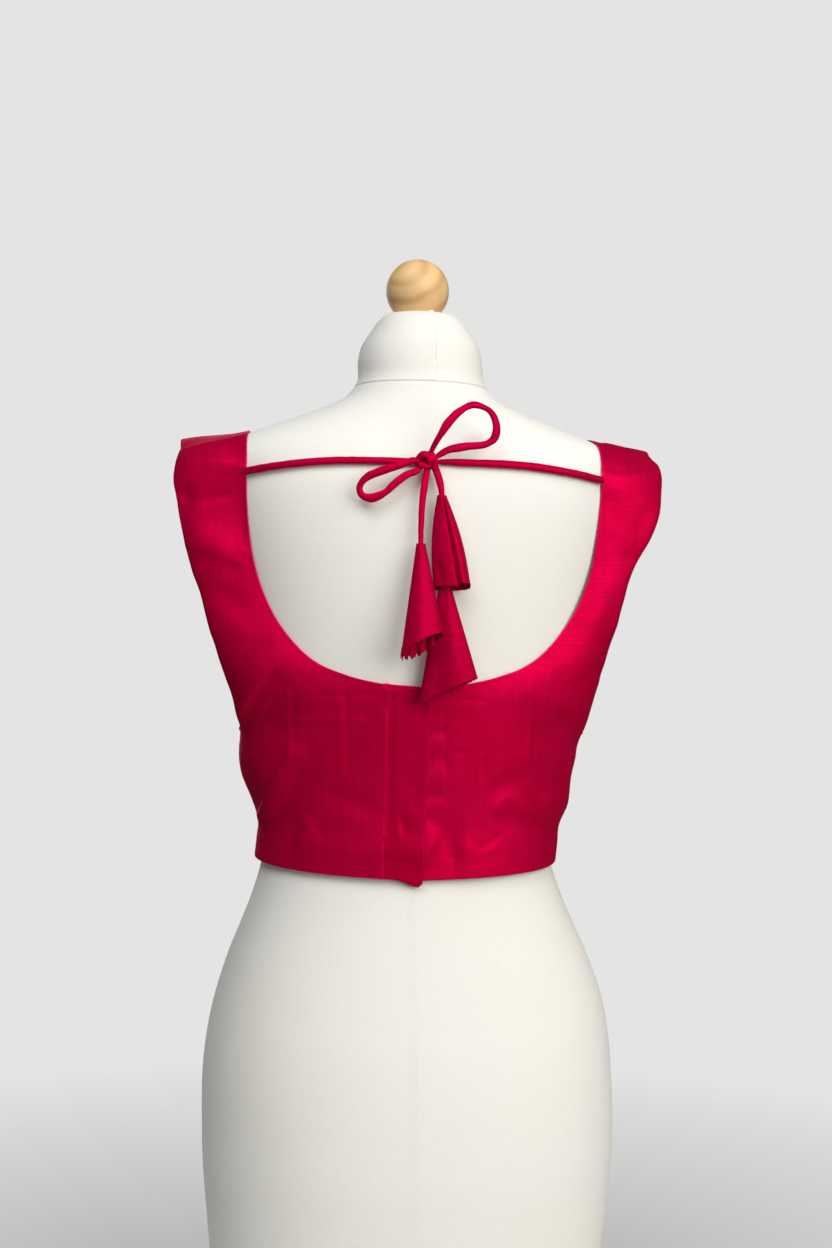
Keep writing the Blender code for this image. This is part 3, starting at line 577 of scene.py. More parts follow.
def tieStops(side, knotWay):
    sewn = panelPoint(backRows, tieLook["row"], side, 0.0)
    along = (sewn - panelPoint(backRows, tieLook["row"], side, 0.1)).normalized()
    start = layOnForm(sewn + along * tieLook["beside"], tieLook["radius"] + tieLook["gap"])
    knotEnd = knotSpot(knotWay, 0.0011)
    endX = knotEnd.x + side * 0.006
    stops = [start]
    for k in range(1, tieLook["stops"] + 1):
        s = k / tieLook["stops"]
        x = start.x + (endX - start.x) * s
        z = start.z + (tieLook["level"] - start.z) * math.sin(0.5 * math.pi * min(1.0, s * 1.5))
        y = skin.ray_cast(Vector((x, -0.4, z)), Vector((0, 1, 0)))[0].y - tieLook["radius"]
        stops.append(layOnForm(Vector((x, y, z)), tieLook["radius"] + tieLook["gap"]))
    return stops + [knotEnd]


# Each cord's stops, half width and half thickness, and its width and twist along the way as
# (place, value)
untwisted = [(0, 0), (1, 0)]
cordLooks = {
    "tieLeft": {"stops": tieStops(-1, "tieLeft"), "half": 0.0030, "thick": 0.0024,
                "widths": [(0, 1.0), (0.5, 1.0), (0.85, 0.92), (0.94, 0.78), (1, 0.60)],
                "twist": untwisted, "seed": 3},
    "tieRight": {"stops": tieStops(1, "tieRight"), "half": 0.0030, "thick": 0.0024,
                 "widths": [(0, 1.0), (0.55, 1.05), (0.86, 0.95), (0.94, 0.75), (1, 0.60)],
                 "twist": untwisted, "seed": 4},
    "loopUpper": {"stops": [knotSpot("upperOut"), (.0042, -.1020, .8475), (.0090, -.1045, .8560),
                            (.0150, -.1045, .8655), (.0235, -.1030, .8745), (.0345, -.1005, .8800),
                            (.0470, -.0985, .8762), (.0525, -.0980, .8660), (.0515, -.0975, .8555),
                            (.0440, -.0970, .8500), (.0300, -.0965, .8482), (.0170, -.0962, .8455),
                            (.0105, -.0963, .8420), knotSpot("upperBack")],
                  "half": 0.0031, "thick": 0.0022,
                  "widths": [(0, 0.62), (0.10, 0.78), (0.19, 1.12), (0.27, 1.05), (0.335, 0.86),
                             (0.40, 0.98), (0.46, 0.82), (0.53, 1.05), (0.61, 1.10), (0.70, 0.88),
                             (0.86, 1.12), (0.94, 0.90), (1, 0.66)],
                  "twist": [(0, 0.2), (0.34, -0.25), (0.5, 0.35), (1, 0)], "seed": 5},
    "loopLower": {"stops": [knotSpot("lowerOut", 0.0014), (-.0122, -.1026, .8357), (-.0190, -.1030, .8330),
                            (-.0345, -.1028, .8275), (-.0462, -.1013, .8225), (-.0522, -.1000, .8155),
                            (-.0508, -.1000, .8085), (-.0430, -.1005, .8062), (-.0330, -.1012, .8105),
                            (-.0250, -.1015, .8180), (-.0165, -.1010, .8245), (-.0090, -.1003, .8275),
                            knotSpot("lowerBack", 0.0010)],
                  "half": 0.0031, "thick": 0.0022,
                  "widths": [(0, 0.80), (0.14, 1.05), (0.33, 1.06), (0.45, 0.80), (0.52, 0.88),
                             (0.60, 1.16), (0.70, 0.88), (0.82, 1.0), (0.93, 0.9), (1, 0.66)],
                  "twist": [(0, 0), (0.45, 0.4), (0.58, -0.3), (1, 0.1)], "seed": 6},
    "endLeft": {"stops": [knotSpot("endLeft", 0.0007), (-.0022, -.1015, .8200), (-.0043, -.1050, .8020),
                          (-.0050, -.1069, .7850), (-.0050, -.1080, .7715), (-.0048, -.1092, .7620)],
                "half": 0.0026, "thick": 0.0019,
                "widths": [(0, 1.0), (0.2, 1.08), (0.5, 0.95), (0.8, 0.80), (1, 0.72)],
                "twist": [(0, 0), (1, 0.3)], "seed": 7},
    "endRight": {"stops": [knotSpot("endRight", 0.0010), (.0074, -.1010, .8255), (.0098, -.1028, .8170),
                           (.0107, -.1038, .8093), (.0118, -.1046, .7900), (.0129, -.1061, .7690),
                           (.0136, -.1072, .7485), (.0141, -.1069, .7415)],
                 "half": 0.0026, "thick": 0.0020,
                 "widths": [(0, 1.15), (0.12, 1.12), (0.26, 0.86), (0.4, 0.9), (1, 0.75)],
                 "twist": [(0, 0), (1, 0.2)], "seed": 8},
}


def readTable(table, s):
    for (a, va), (b, vb) in zip(table, table[1:]):
        if s <= b:
            return va + (vb - va) * smoothStep((s - a) / (b - a))
    return table[-1][1]


# A cord's surface: how uneven it is, and its seam and pleat as shallow grooves along it
cordSurface = {"uneven": 0.07, "seam": 0.13, "seamTurn": 1.32, "seamWide": 0.16,
               "pleat": 0.07, "pleatTurn": 2.05, "pleatWide": 0.2}


def cordSize(turn, run, seed):
    wobble = noise.noise(Vector((run * 160, math.cos(turn) * 0.8, seed + math.sin(turn) * 0.8)))
    seam = abs(turn - (cordSurface["seamTurn"] + 0.10 * math.sin(run * 90 + seed)))
    pleat = abs(turn - (cordSurface["pleatTurn"] + 0.25 * math.sin(run * 60 + 2 * seed)))
    size = 1 + cordSurface["uneven"] * wobble
    size -= cordSurface["seam"] * math.exp(-(seam / cordSurface["seamWide"]) ** 2)
    size -= cordSurface["pleat"] * math.exp(-(pleat / cordSurface["pleatWide"]) ** 2) * smoothStep(
        abs(math.sin(run * 35)) * 1.5)
    return size


def cordRings(path, look, around=22):
    rings, uvs, run = [], [], 0.0
    count = len(path)
    for k, point in enumerate(path):
        s = k / (count - 1)
        tangent = (path[min(k + 1, count - 1)] - path[max(k - 1, 0)]).normalized()
        _, out, _, _ = skin.find_nearest(point)
        across = tangent.cross(out).normalized()
        out = across.cross(tangent).normalized()
        twist = readTable(look["twist"], s)
        across, out = (across * math.cos(twist) + out * math.sin(twist),
                       out * math.cos(twist) - across * math.sin(twist))
        half = look["half"] * readTable(look["widths"], s)
        thick = look["thick"] * (0.55 + 0.45 * readTable(look["widths"], s))
        if k > 0:
            run += (point - path[k - 1]).length
        ring, ringUv = [], []
        for i in range(around):
            turn = 2 * math.pi * i / around
            size = cordSize(turn, run, look["seed"])
            ring.append(point + across * (math.cos(turn) * half * size)
                        + out * (math.sin(turn) * thick * size))
            ringUv.append((turn * look["half"], run))
        rings.append(ring)
        uvs.append(ringUv)
    return rings, uvs


def tubeFrom(rings, uvs, verts, faces, flat):
    # adds a tube through the rings, with domed ends
    around, start = len(rings[0]), len(verts)
    for ring, ringUv in zip(rings, uvs):
        verts += ring
        flat += ringUv
    faces += [(a, d, c, b) for a, b, c, d in gridFaces(len(rings), around, True, start)]
    for j, inward in ((0, 1), (len(rings) - 1, -1)):
        middle = sum(rings[j], Vector()) / around
        beyond = middle - sum(rings[j + inward], Vector()) / around
        verts.append(middle + beyond * 0.8)
        flat.append(uvs[j][0])
        tip = len(verts) - 1
        for i in range(around):
            a, b = start + j * around + i, start + j * around + (i + 1) % around
            faces.append((tip, a, b) if inward > 0 else (tip, b, a))


def makeCord(name, count):
    look = cordLooks[name]
    path = route(look["stops"], count)
    rings, uvs = cordRings(path, look)
    verts, faces, flat = [], [], []
    tubeFrom(rings, uvs, verts, faces, flat)
    obj = newPiece(name, verts, faces, cordSatin, flat, [0.0] * len(verts))
    turnOutward(obj)
    print(name, "runs", round(lengthOf(path), 4))
    return obj, path


tieLeft, tieLeftPath = makeCord("tieLeft", 130)
tieRight, tieRightPath = makeCord("tieRight", 130)
loopUpper, loopUpperPath = makeCord("loopUpper", 190)
loopLower, loopLowerPath = makeCord("loopLower", 180)
endLeft, endLeftPath = makeCord("endLeft", 90)
endRight, endRightPath = makeCord("endRight", 100)

# The knot: a core with strands drawn over it
knotStrands = [
    {"stops": [(-.0074, .0006, -.0030), (-.0064, -.0044, .0012), (-.0030, -.0066, .0044),
               (.0004, -.0066, .0030), (.0022, -.0058, -.0018), (.0020, -.0020, -.0058)],
     "half": 0.0027, "thick": 0.0019, "widths": [(0, 0.8), (0.5, 1.05), (1, 0.8)],
     "twist": untwisted, "seed": 11},
    {"stops": [(.0016, -.0010, .0062), (.0034, -.0052, .0046), (.0054, -.0062, .0004),
               (.0062, -.0052, -.0040), (.0068, -.0046, -.0072)],
     "half": 0.0028, "thick": 0.0019, "widths": [(0, 0.75), (0.5, 1.05), (1, 1.0)],
     "twist": untwisted, "seed": 12},
    {"stops": [(-.0080, -.0010, -.0012), (-.0052, -.0048, -.0034), (-.0010, -.0052, -.0044),
               (.0036, -.0040, -.0046)],
     "half": 0.0024, "thick": 0.0017, "widths": [(0, 0.8), (0.5, 1.0), (1, 0.75)],
     "twist": untwisted, "seed": 13},
]
def makeKnot():
    verts, faces, flat = [], [], []
    rings, uvs = [], []
    for j in range(1, knotLook["rows"]):
        tilt = math.pi * j / knotLook["rows"]
        ring = []
        for i in range(knotLook["around"]):
            turn = 2 * math.pi * i / knotLook["around"]
            way = Vector((math.cos(tilt), math.sin(tilt) * math.sin(turn), math.sin(tilt) * math.cos(turn)))
            size = knotLook["core"] + 0.05 * noise.noise(way * 2.5)
            ring.append(knotLook["centre"] + Vector([way[n] * knotLook["size"][n] * size for n in range(3)]))
        rings.append(ring)
        uvs.append([(i * 0.0015, j * 0.0015) for i in range(knotLook["around"])])
    tubeFrom(rings, uvs, verts, faces, flat)
    for strand in knotStrands:
        path = route([knotLook["centre"] + Vector(p) for p in strand["stops"]], 36)
        rings, uvs = cordRings(path, strand, 18)
        tubeFrom(rings, uvs, verts, faces, flat)
    obj = newPiece("knotWraps", verts, faces, cordSatin, flat, [0.0] * len(verts))
    facesOutward(obj)
    seat(obj, "satin", "knot")
    return obj


knot = makeKnot()
print("cords and knot made")


# Creases seen from behind, in the photograph's own pixels: height in millimetres, out is
# positive; the reach above or to the right of the line, and below or to its left; taper; path
Crease = namedtuple("Crease", "rise above below taper path")
backCreases = [
    # left shoulder cap and strap
    (1.3, 5, 15, 14, [(174, 459), (200, 458), (226, 463), (250, 470)]),
    (0.7, 2.0, 5, 8, [(182, 450), (205, 443), (228, 438), (252, 432)]),
    (-2.0, 9, 9, 12, [(174, 486), (184, 494), (196, 500)]),
    (-0.8, 5, 7, 14, [(196, 506), (215, 496), (236, 494)]),
    (3.4, 34, 54, 26, [(180, 541), (200, 544), (226, 552), (242, 556)]),
    (2.1, 20, 8, 16, [(178, 540), (200, 545), (226, 555), (250, 563)]),
    (0.4, 4, 4, 8, [(236, 545), (244, 551), (252, 556)]),
    (0.3, 12, 10, 16, [(206, 574), (226, 578), (250, 590)]),
    (-0.9, 10, 13, 16, [(198, 588), (214, 591), (232, 600), (252, 614)]),
    (0.7, 9, 12, 20, [(212, 618), (232, 625), (256, 645)]),
    (-0.8, 9, 10, 22, [(206, 628), (218, 655), (232, 690), (240, 716)]),
    # drag lines from the left armhole and waist
    (-1.9, 30, 2.6, 16, [(276, 664), (262, 683), (252, 697), (246, 709), (240, 727)]),
    (1.1, 2.6, 16, 16, [(275, 663), (261, 682), (251, 696), (245, 708), (239, 726)]),
    (-0.8, 22, 3, 20, [(284, 686), (270, 704), (261, 722), (257, 744)]),
    (2.4, 14, 3, 16, [(296, 738), (289, 754), (278, 774), (269, 794), (261, 812), (258, 824)]),
    (-1.3, 4, 8, 14, [(246, 756), (252, 776), (258, 800), (259, 816)]),
    (-1.0, 16, 4, 16, [(304, 766), (292, 786), (280, 808), (272, 826)]),
    # pressed lines and wrinkles of the left panel
    (0.35, 2.6, 2.6, 24, [(285, 676), (287, 700), (288, 730), (289, 775)]),
    (-0.5, 4, 3, 24, [(290, 676), (292, 705), (293, 740), (294, 770)]),
    (0.40, 2.4, 3.0, 28, [(339, 680), (340.5, 705), (342, 740), (343, 790)]),
    (-0.55, 4, 3, 28, [(344, 682), (345, 715), (347, 760), (348, 792)]),
    (0.6, 2.4, 3.5, 14, [(288, 721), (304, 721), (322, 722), (338, 720), (356, 721), (374, 724)]),
    (-0.5, 4, 3, 12, [(290, 726), (306, 728), (316, 726), (334, 724)]),
    (-0.45, 3, 3, 14, [(296, 699), (318, 697), (336, 697), (362, 696), (384, 694)]),
    (0.7, 6, 4, 12, [(293, 806), (300, 815), (308, 826), (318, 840)]),
    (-0.75, 9, 6, 12, [(306, 806), (313, 818), (320, 830), (330, 842)]),
    (0.9, 11, 15, 22, [(330, 812), (350, 818), (370, 826), (384, 830)]),
    (-0.8, 9, 9, 18, [(318, 790), (340, 798), (362, 806), (382, 810)]),
    (3.4, 30, 22, 16, [(292, 834), (322, 845), (344, 849), (366, 850), (388, 850), (418, 850), (440, 856)]),
    (-0.35, 2.4, 6, 16, [(298, 846), (322, 854), (344, 858), (366, 859), (388, 859), (420, 860)]),
    (-0.3, 3.4, 2.0, 10, [(391.5, 684), (391.2, 724), (390.4, 770), (389.0, 812), (387.0, 848)]),
    (0.35, 3, 3, 12, [(396, 812), (398, 826), (399, 840)]),
    (-0.4, 4, 3, 12, [(401, 812), (403, 828), (404, 842)]),
    (0.45, 12, 12, 12, [(402, 826), (412, 818), (424, 812)]),
    (-0.5, 8, 8, 12, [(398, 790), (410, 786), (424, 780)]),
    # right panel: pressed lines, the hump by the waist, wrinkles
    (-0.25, 3, 3, 14, [(450, 701), (470, 701), (494, 702)]),
    (0.15, 3, 5, 14, [(450, 705), (470, 706), (494, 707)]),
    (-0.45, 3, 3, 12, [(450, 754), (462, 753), (476, 752)]),
    (0.55, 2.6, 3.0, 22, [(527, 664), (530, 690), (531, 716), (529, 745), (526, 775)]),
    (-0.5, 4, 3, 22, [(536, 664), (539, 690), (539, 716), (536, 750)]),
    (0.45, 3, 3, 12, [(502, 752), (503, 765), (504, 782)]),
    (0.75, 4, 10, 9, [(488, 812), (498, 805), (509, 796.5), (519, 802), (529, 810), (540, 817)]),
    (-0.8, 6, 12, 12, [(488, 824), (500, 818), (516, 818), (530, 822), (546, 828)]),
    (-0.4, 9, 6, 12, [(488, 796), (500, 788), (512, 784), (526, 790)]),
    (0.3, 9, 9, 14, [(500, 838), (516, 836), (534, 840)]),
    (-0.5, 3, 3, 10, [(504, 830), (493, 840), (481, 850)]),
    (0.2, 5, 5, 10, [(500, 842), (492, 850), (484, 858)]),
    (-0.4, 3, 3, 7, [(477, 838), (480, 847), (481, 854)]),
    (1.8, 30, 30, 16, [(452, 850), (500, 853), (552, 842)]),
    (0.4, 7, 10, 16, [(452, 838), (464, 846), (472, 862)]),
    (1.7, 4, 9, 14, [(565, 722), (567, 738), (567.5, 752), (568, 768)]),
    (-1.3, 8, 4, 14, [(574, 728), (574, 742), (572, 758)]),
    (-1.3, 5, 12, 20, [(549, 716), (552, 736), (557, 756), (562, 774)]),
    (1.6, 4, 10, 12, [(546, 792), (549, 802), (552, 814), (555, 828)]),
    (-1.0, 5, 10, 14, [(536, 792), (538, 806), (542, 822)]),
    (0.7, 5, 5, 12, [(553, 790), (558, 797), (561, 806)]),
    # right strap and shoulder cap
    (1.2, 2.5, 7, 7, [(600, 441), (622, 443), (642, 448)]),
    (1.4, 5, 16, 14, [(598, 468), (610, 475), (622, 478), (640, 474.5), (656, 468), (668, 465)]),
    (-1.0, 13, 10, 22, [(652, 496), (648, 512), (642, 532), (636, 552), (628, 576)]),
    (0.7, 9, 9, 22, [(664, 500), (659, 520), (652, 540), (645, 556)]),
    (-0.8, 10, 10, 22, [(624, 592), (617, 614), (608, 640), (598, 664)]),
    (0.9, 7, 9, 22, [(634, 588), (626, 606), (620, 624), (612, 644)]),
    (2.0, 34, 50, 22, [(556, 606), (592, 598), (640, 582)]),
    (0.7, 10, 14, 26, [(612, 560), (606, 590), (596, 618), (582, 640)]),
    (-0.6, 9, 9, 20, [(604, 484), (612, 506), (616, 530)]),
    (1.2, 5, 7, 14, [(600, 672), (592, 692), (584, 712), (580, 726)]),
    (-0.7, 14, 14, 20, [(566, 664), (560, 690), (556, 712)]),
]
# Creases of the panels alone: the seam where the left panel overlaps the band, and the puckers
# between the band's free edge and the line of stitches beside it
besideCreases = [
    (1.4, 0.9, 24, 6, [(388.2, 664), (387.9, 720), (387.0, 770), (385.6, 810), (384.0, 856), (383.4, 896)]),
    (-0.5, 5, 5, 7, [(420, 732), (434, 732), (448, 731)]),
    (0.5, 6, 7, 7, [(420, 743), (434, 742), (448, 741)]),
    (-0.55, 5, 6, 7, [(419, 759), (434, 760), (449, 760)]),
    (0.6, 9, 9, 7, [(420, 779), (434, 778), (449, 777)]),
    (-0.6, 5, 6, 7, [(418, 796), (432, 796), (447, 795)]),
    (0.4, 7, 7, 7, [(420, 808), (434, 807), (448, 804)]),
    (-0.7, 8, 7, 12, [(418, 818), (431, 821), (442, 830), (449, 846), (453, 868)]),
    (0.5, 11, 9, 12, [(418, 846), (430, 845), (437, 852), (441, 870)]),
    (-0.35, 1.7, 1.7, 14, [(444.5, 696), (445, 730), (445.6, 765), (446.4, 800)]),
]
# Creases of the front, in millimetres across and down from frontLevel
frontCreases = [
    (1.6, 5, 10, 22, [(-118, 74), (-96, 58), (-74, 40)]),
    (-1.2, 9, 6, 22, [(-116, 90), (-94, 74), (-70, 54)]),
    (1.5, 5, 10, 22, [(120, 76), (98, 62), (76, 40)]),
    (-1.2, 9, 6, 22, [(116, 94), (94, 76), (72, 56)]),
    (1.2, 6, 8, 20, [(-60, 60), (-58, 90), (-56, 130), (-55, 165)]),
    (-0.9, 6, 6, 20, [(-48, 70), (-46, 105), (-45, 150)]),
    (1.2, 8, 6, 20, [(62, 60), (60, 92), (57, 128), (56, 166)]),
    (-0.9, 6, 6, 20, [(50, 72), (48, 108), (47, 150)]),
    (1.0, 6, 6, 20, [(-34, 120), (-14, 128), (10, 126), (32, 118)]),
    (-1.0, 7, 7, 20, [(-36, 134), (-12, 142), (12, 140), (36, 132)]),
    (0.8, 3, 3, 24, [(-1, -30), (0, 30), (1, 90), (0, 150)]),
    (-0.6, 4, 4, 24, [(5, -20), (6, 40), (7, 100), (6, 140)]),
    (1.3, 5, 9, 16, [(-128, -30), (-112, -22), (-98, -4)]),
    (1.3, 5, 9, 16, [(130, -30), (113, -22), (99, -4)]),
    (-0.9, 8, 8, 20, [(-150, -92), (-140, -72), (-126, -52)]),
    (-0.9, 8, 8, 20, [(152, -92), (142, -72), (127, -52)]),
    (1.2, 8, 6, 18, [(-186, -120), (-170, -112), (-150, -116)]),
    (1.2, 8, 6, 18, [(188, -120), (170, -112), (150, -118)]),
    (-0.8, 5, 9, 18, [(-110, 150), (-84, 158), (-60, 156)]),
    (0.9, 9, 5, 18, [(-108, 140), (-84, 147), (-58, 146)]),
    (-0.8, 5, 9, 18, [(104, 152), (82, 160), (58, 158)]),
    (0.9, 9, 5, 18, [(102, 142), (82, 149), (58, 148)]),
]


def readyCreases(rows):
    # each crease with its box, its steps and its whole length
    ready = []
    for crease in [Crease(*row) for row in rows]:
        line = [Vector((x, y, 0)) for x, y in crease.path]
        line = [p.to_2d() for p in route(line, 5 * len(line) + 1)]
        reach = 2.3 * max(crease.above, crease.below)
        box = (min(p.x for p in line) - reach, max(p.x for p in line) + reach,
               min(p.y for p in line) - reach, max(p.y for p in line) + reach)
        sizes = lengthsOf(line)
        runs = runOf(sizes)
        steps = [(a.x, a.y, (b.x - a.x) / size, (b.y - a.y) / size, size, run)
                 for a, b, size, run in zip(line, line[1:], sizes, runs)]
        ready.append((crease, box, steps, runs[-1]))
    return ready


def creaseRise(ready, x, y):
    total = 0.0
    for crease, box, steps, whole in ready:
        if x < box[0] or x > box[1] or y < box[2] or y > box[3]:
            continue
        best, found = 1e9, None
        for ax, ay, dx, dy, size, run in steps:
            px, py = x - ax, y - ay
            t = min(max(px * dx + py * dy, 0.0), size)
            qx, qy = px - dx * t, py - dy * t
            far = qx * qx + qy * qy
            if far < best:
                best, found = far, (dx * py - dy * px, run + t)
        width = crease.below if found[0] > 0 else crease.above
        ends = min(crease.taper, 0.5 * whole)
        fade = smoothStep(found[1] / ends) * smoothStep((whole - found[1]) / ends)
        total += crease.rise * 0.001 * fade * math.exp(-best / (width * width))
    return total


# Panels of the blouse: rows and columns of points, wall and rest, how their edges roll over, and how far the
# painted highlight reaches from a turned edge
panelLook = {"across": 118, "up": 214, "frontAcross": 92, "frontUp": 190, "shell": 0.0009, "clear": 0.0005,
             "roll": 0.0018, "rollDrop": 0.0006, "seamRoll": 0.0022, "seamDrop": 0.0004,
             "unevenness": 0.00040, "ripple": 0.00014, "neckReach": 0.075, "neckMost": 0.0060,
             "ease": 0.0008, "easeMore": 0.0022, "easeReach": 0.020, "litEdge": 0.0014}


def edgeSpread(count):
    # closer together at both ends, where the cloth rolls over
    return [0.6 * i / (count - 1) + 0.4 * (0.5 - 0.5 * math.cos(math.pi * i / (count - 1)))
            for i in range(count)]


def gridNormals(grid):
    rows, wide = len(grid), len(grid[0])
    normals = []
    for j in range(rows):
        line = []
        for i in range(wide):
            up = grid[min(j + 1, rows - 1)][i] - grid[max(j - 1, 0)][i]
            across = grid[j][min(i + 1, wide - 1)] - grid[j][max(i - 1, 0)]
            line.append(across.cross(up))
        normals.append(line)
    for j in range(rows):
        for i in range(wide):
            if normals[j][i].length < 1e-10:
                normals[j][i] = normals[j][i - 1 if i else 1].copy()
            normals[j][i].normalize()
    for _ in range(3):
        before = [[n.copy() for n in line] for line in normals]
        for j in range(rows):
            for i in range(wide):
                near = before[max(j - 1, 0)][i] + before[min(j + 1, rows - 1)][i]
                near += before[j][max(i - 1, 0)] + before[j][min(i + 1, wide - 1)]
                normals[j][i] = (before[j][i] + near * 0.5).normalized()
    return normals


def rollOver(far, roll, drop):
    # how far a turned edge falls back, at a distance from the edge
    if far >= roll:
        return 0.0
    share = 1 - far / roll
    return drop * (1 - math.sqrt(max(0.0, 1 - share * share)))


def lineTree(*lines):
    points = []
    for line in lines:
        points += spread(line, max(2, int(lengthOf(line) / 0.0004)))
    tree = KDTree(len(points))
    for i, point in enumerate(points):
        tree.insert(point, i)
    tree.balance()
    return tree, points


def gapsOf(points):
    # how far the neckline stands off the form, evened out along it
    gaps = []
    for point in points:
        spot, normal, _, _ = skin.find_nearest(point)
        gap = (point - spot).dot(normal) - panelLook["shell"] - panelLook["clear"] - 0.0002
        gaps.append(min(max(gap, 0.0), panelLook["neckMost"]))
    run = runOf(gaps)
    even = []
    for i in range(len(gaps)):
        low, high = max(0, i - 40), min(len(gaps), i + 41)
        even.append((run[high] - run[low]) / (high - low))
    return even


def eased(points, rounds, share=1.0):
    # evens a run of points out and keeps its ends
    for _ in range(rounds):
        points = [points[0]] + [b + (a + c - b * 2) * 0.25 * share
                                for a, b, c in zip(points, points[1:], points[2:])] + [points[-1]]
    return points


def dressGrid(grid, side, creases, spotOf, turned, seams, neckline, seed):
    # moves a panel's points along their normals by its creases; the folded edges, the seams
    # and the neckline are trees of points
    normals = gridNormals(grid)
    neckTree, neckPoints = lineTree(neckline)
    neckGaps = gapsOf(neckPoints)
    turnedTree, seamTree = lineTree(*turned)[0], lineTree(*seams)[0]
    shaped, edges = [], []
    for j, line in enumerate(grid):
        row, rowHighlight = [], []
        for i, point in enumerate(line):
            normal = normals[j][i] * side
            x, y = spotOf(point)
            rise = creaseRise(creases, x, y)
            rise += panelLook["unevenness"] * noise.noise(point * 26 + Vector((seed, 0, 0)))
            rise += panelLook["ripple"] * noise.noise(point * 85 + Vector((0, seed, 0)))
            far = turnedTree.find(point)[2]
            rise -= rollOver(far, panelLook["roll"], panelLook["rollDrop"])
            rise -= rollOver(seamTree.find(point)[2], panelLook["seamRoll"], panelLook["seamDrop"])
            _, index, neckFar = neckTree.find(point)
            rise -= neckGaps[index] * max(0.0, 1 - neckFar / panelLook["neckReach"])
            ease = panelLook["ease"] + panelLook["easeMore"] * smoothStep(neckFar / panelLook["easeReach"])
            row.append(layOnForm(point + normal * rise, panelLook["shell"] + panelLook["clear"], ease))
            # the share of the painted highlight, lighter along the turned edges
            rowHighlight.append(max(0.0, 1 - far / panelLook["litEdge"]))
        shaped.append(row)
        edges.append(rowHighlight)
    # the outer edge's shifts are evened along it
    shifts = eased([row[-1] - line[-1] for row, line in zip(shaped, grid)], 20)
    for row, line, shift in zip(shaped, grid, shifts):
        row[-1] = line[-1] + shift
    return shaped, edges


def shellOf(name, verts, faces, uvs, edges, material, wall):
    obj = newPiece(name, verts, faces, material, uvs, edges)
    solid = obj.modifiers.new("wall", "SOLIDIFY")
    solid.thickness = wall
    solid.offset = -1.0
    solid.use_even_offset = False
    applyModifiers(obj)
    return obj


def flatten(lines):
    return [item for line in lines for item in line]


def halfGrid(rows, places, side, steps, neckRow):
    # a panel's half on the form, straight at the middle line and at the side seam
    grid = []
    for place in places:
        line = [panelPoint(rows, place, side, t) for t in steps]
        if place <= neckRow:
            line[0].x = 0.0
        if place <= cut["armhole"]:
            line[-1].y = 0.0
        grid.append(line)
    return grid


def evenedAcross(grid, places, neckRow, rounds=70):
    # evens the slope out where the rows change from whole rows to rows that start at the neckline
    low = next(j for j, place in enumerate(places) if place > neckRow - 2.2)
    high = next(j for j, place in enumerate(places) if place > neckRow + 2.6)
    for i in range(1, len(grid[0]) - 1):
        share = min(1.0, i / 12) * min(1.0, (len(grid[0]) - 1 - i) / 10)
        column = eased([grid[j][i].copy() for j in range(low, high)], rounds, share)
        for j, point in zip(range(low, high), column):
            grid[j][i] = point


def panelPlaces(rows, count, neckRow):
    # even rows of points, with more by the hem, the shoulder seam and the corners
    more = [0.02, 0.045, 0.08, float(neckRow), cut["armhole"], len(rows) - 1 - 0.03]
    return sorted(set(evenPlaces(rows, count, shoulderStep) + more))


def clothMap(rows, places, grid, side):
    # each point's place on the cloth, in metres across and up
    read = [rowAt(rows, place) for place in places]
    up = runOf(panelStep(a, b) for a, b in zip(read, read[1:]))
    return [[(side * across, up[j]) for across in runOf(lengthsOf(line), read[j].inRight)]
            for j, line in enumerate(grid)]


def dressHalf(rows, places, side, steps, facing, creases, spotOf, seed):
    # one side of a panel: its map, its dressed points and how near each lies to a turned edge, which sets
    # its share of the painted highlight
    neckRow = cut["backNeck"] if rows is backRows else cut["frontNeck"]
    grid = halfGrid(rows, places, side, steps, neckRow)
    evenedAcross(grid, places, neckRow)
    neckline = [line[0] for line, place in zip(grid, places) if place >= neckRow]
    armhole = [line[-1] for line, place in zip(grid, places) if place >= cut["armhole"]]
    sideSeam = [line[-1] for line, place in zip(grid, places) if place <= cut["armhole"]]
    shaped, edges = dressGrid(grid, facing, creases, spotOf, [grid[0], neckline, armhole],
                              [sideSeam, grid[-1]], neckline, seed)
    return clothMap(rows, places, grid, side), shaped, edges


readyBack = readyCreases(backCreases + besideCreases)
readyBand = readyCreases(backCreases)
readyFront = readyCreases(frontCreases)
backPlaces = panelPlaces(backRows, panelLook["up"], cut["backNeck"])
backSteps = edgeSpread(panelLook["across"])
frontPlaces = panelPlaces(frontRows, panelLook["frontUp"], cut["frontNeck"])
frontSteps = edgeSpread(panelLook["frontAcross"])


def dressBack(name, side, seed, node):
    uvs, shaped, edges = dressHalf(backRows, backPlaces, side, backSteps, side, readyBack, photoSpot, seed)
    faces = gridFaces(len(shaped), len(backSteps))
    if side < 0:
        faces = [tuple(reversed(face)) for face in faces]
    obj = shellOf(name, flatten(shaped), faces, flatten(uvs), flatten(edges), panelSatin, panelLook["shell"])
    seat(obj, "satin", node)
    return obj


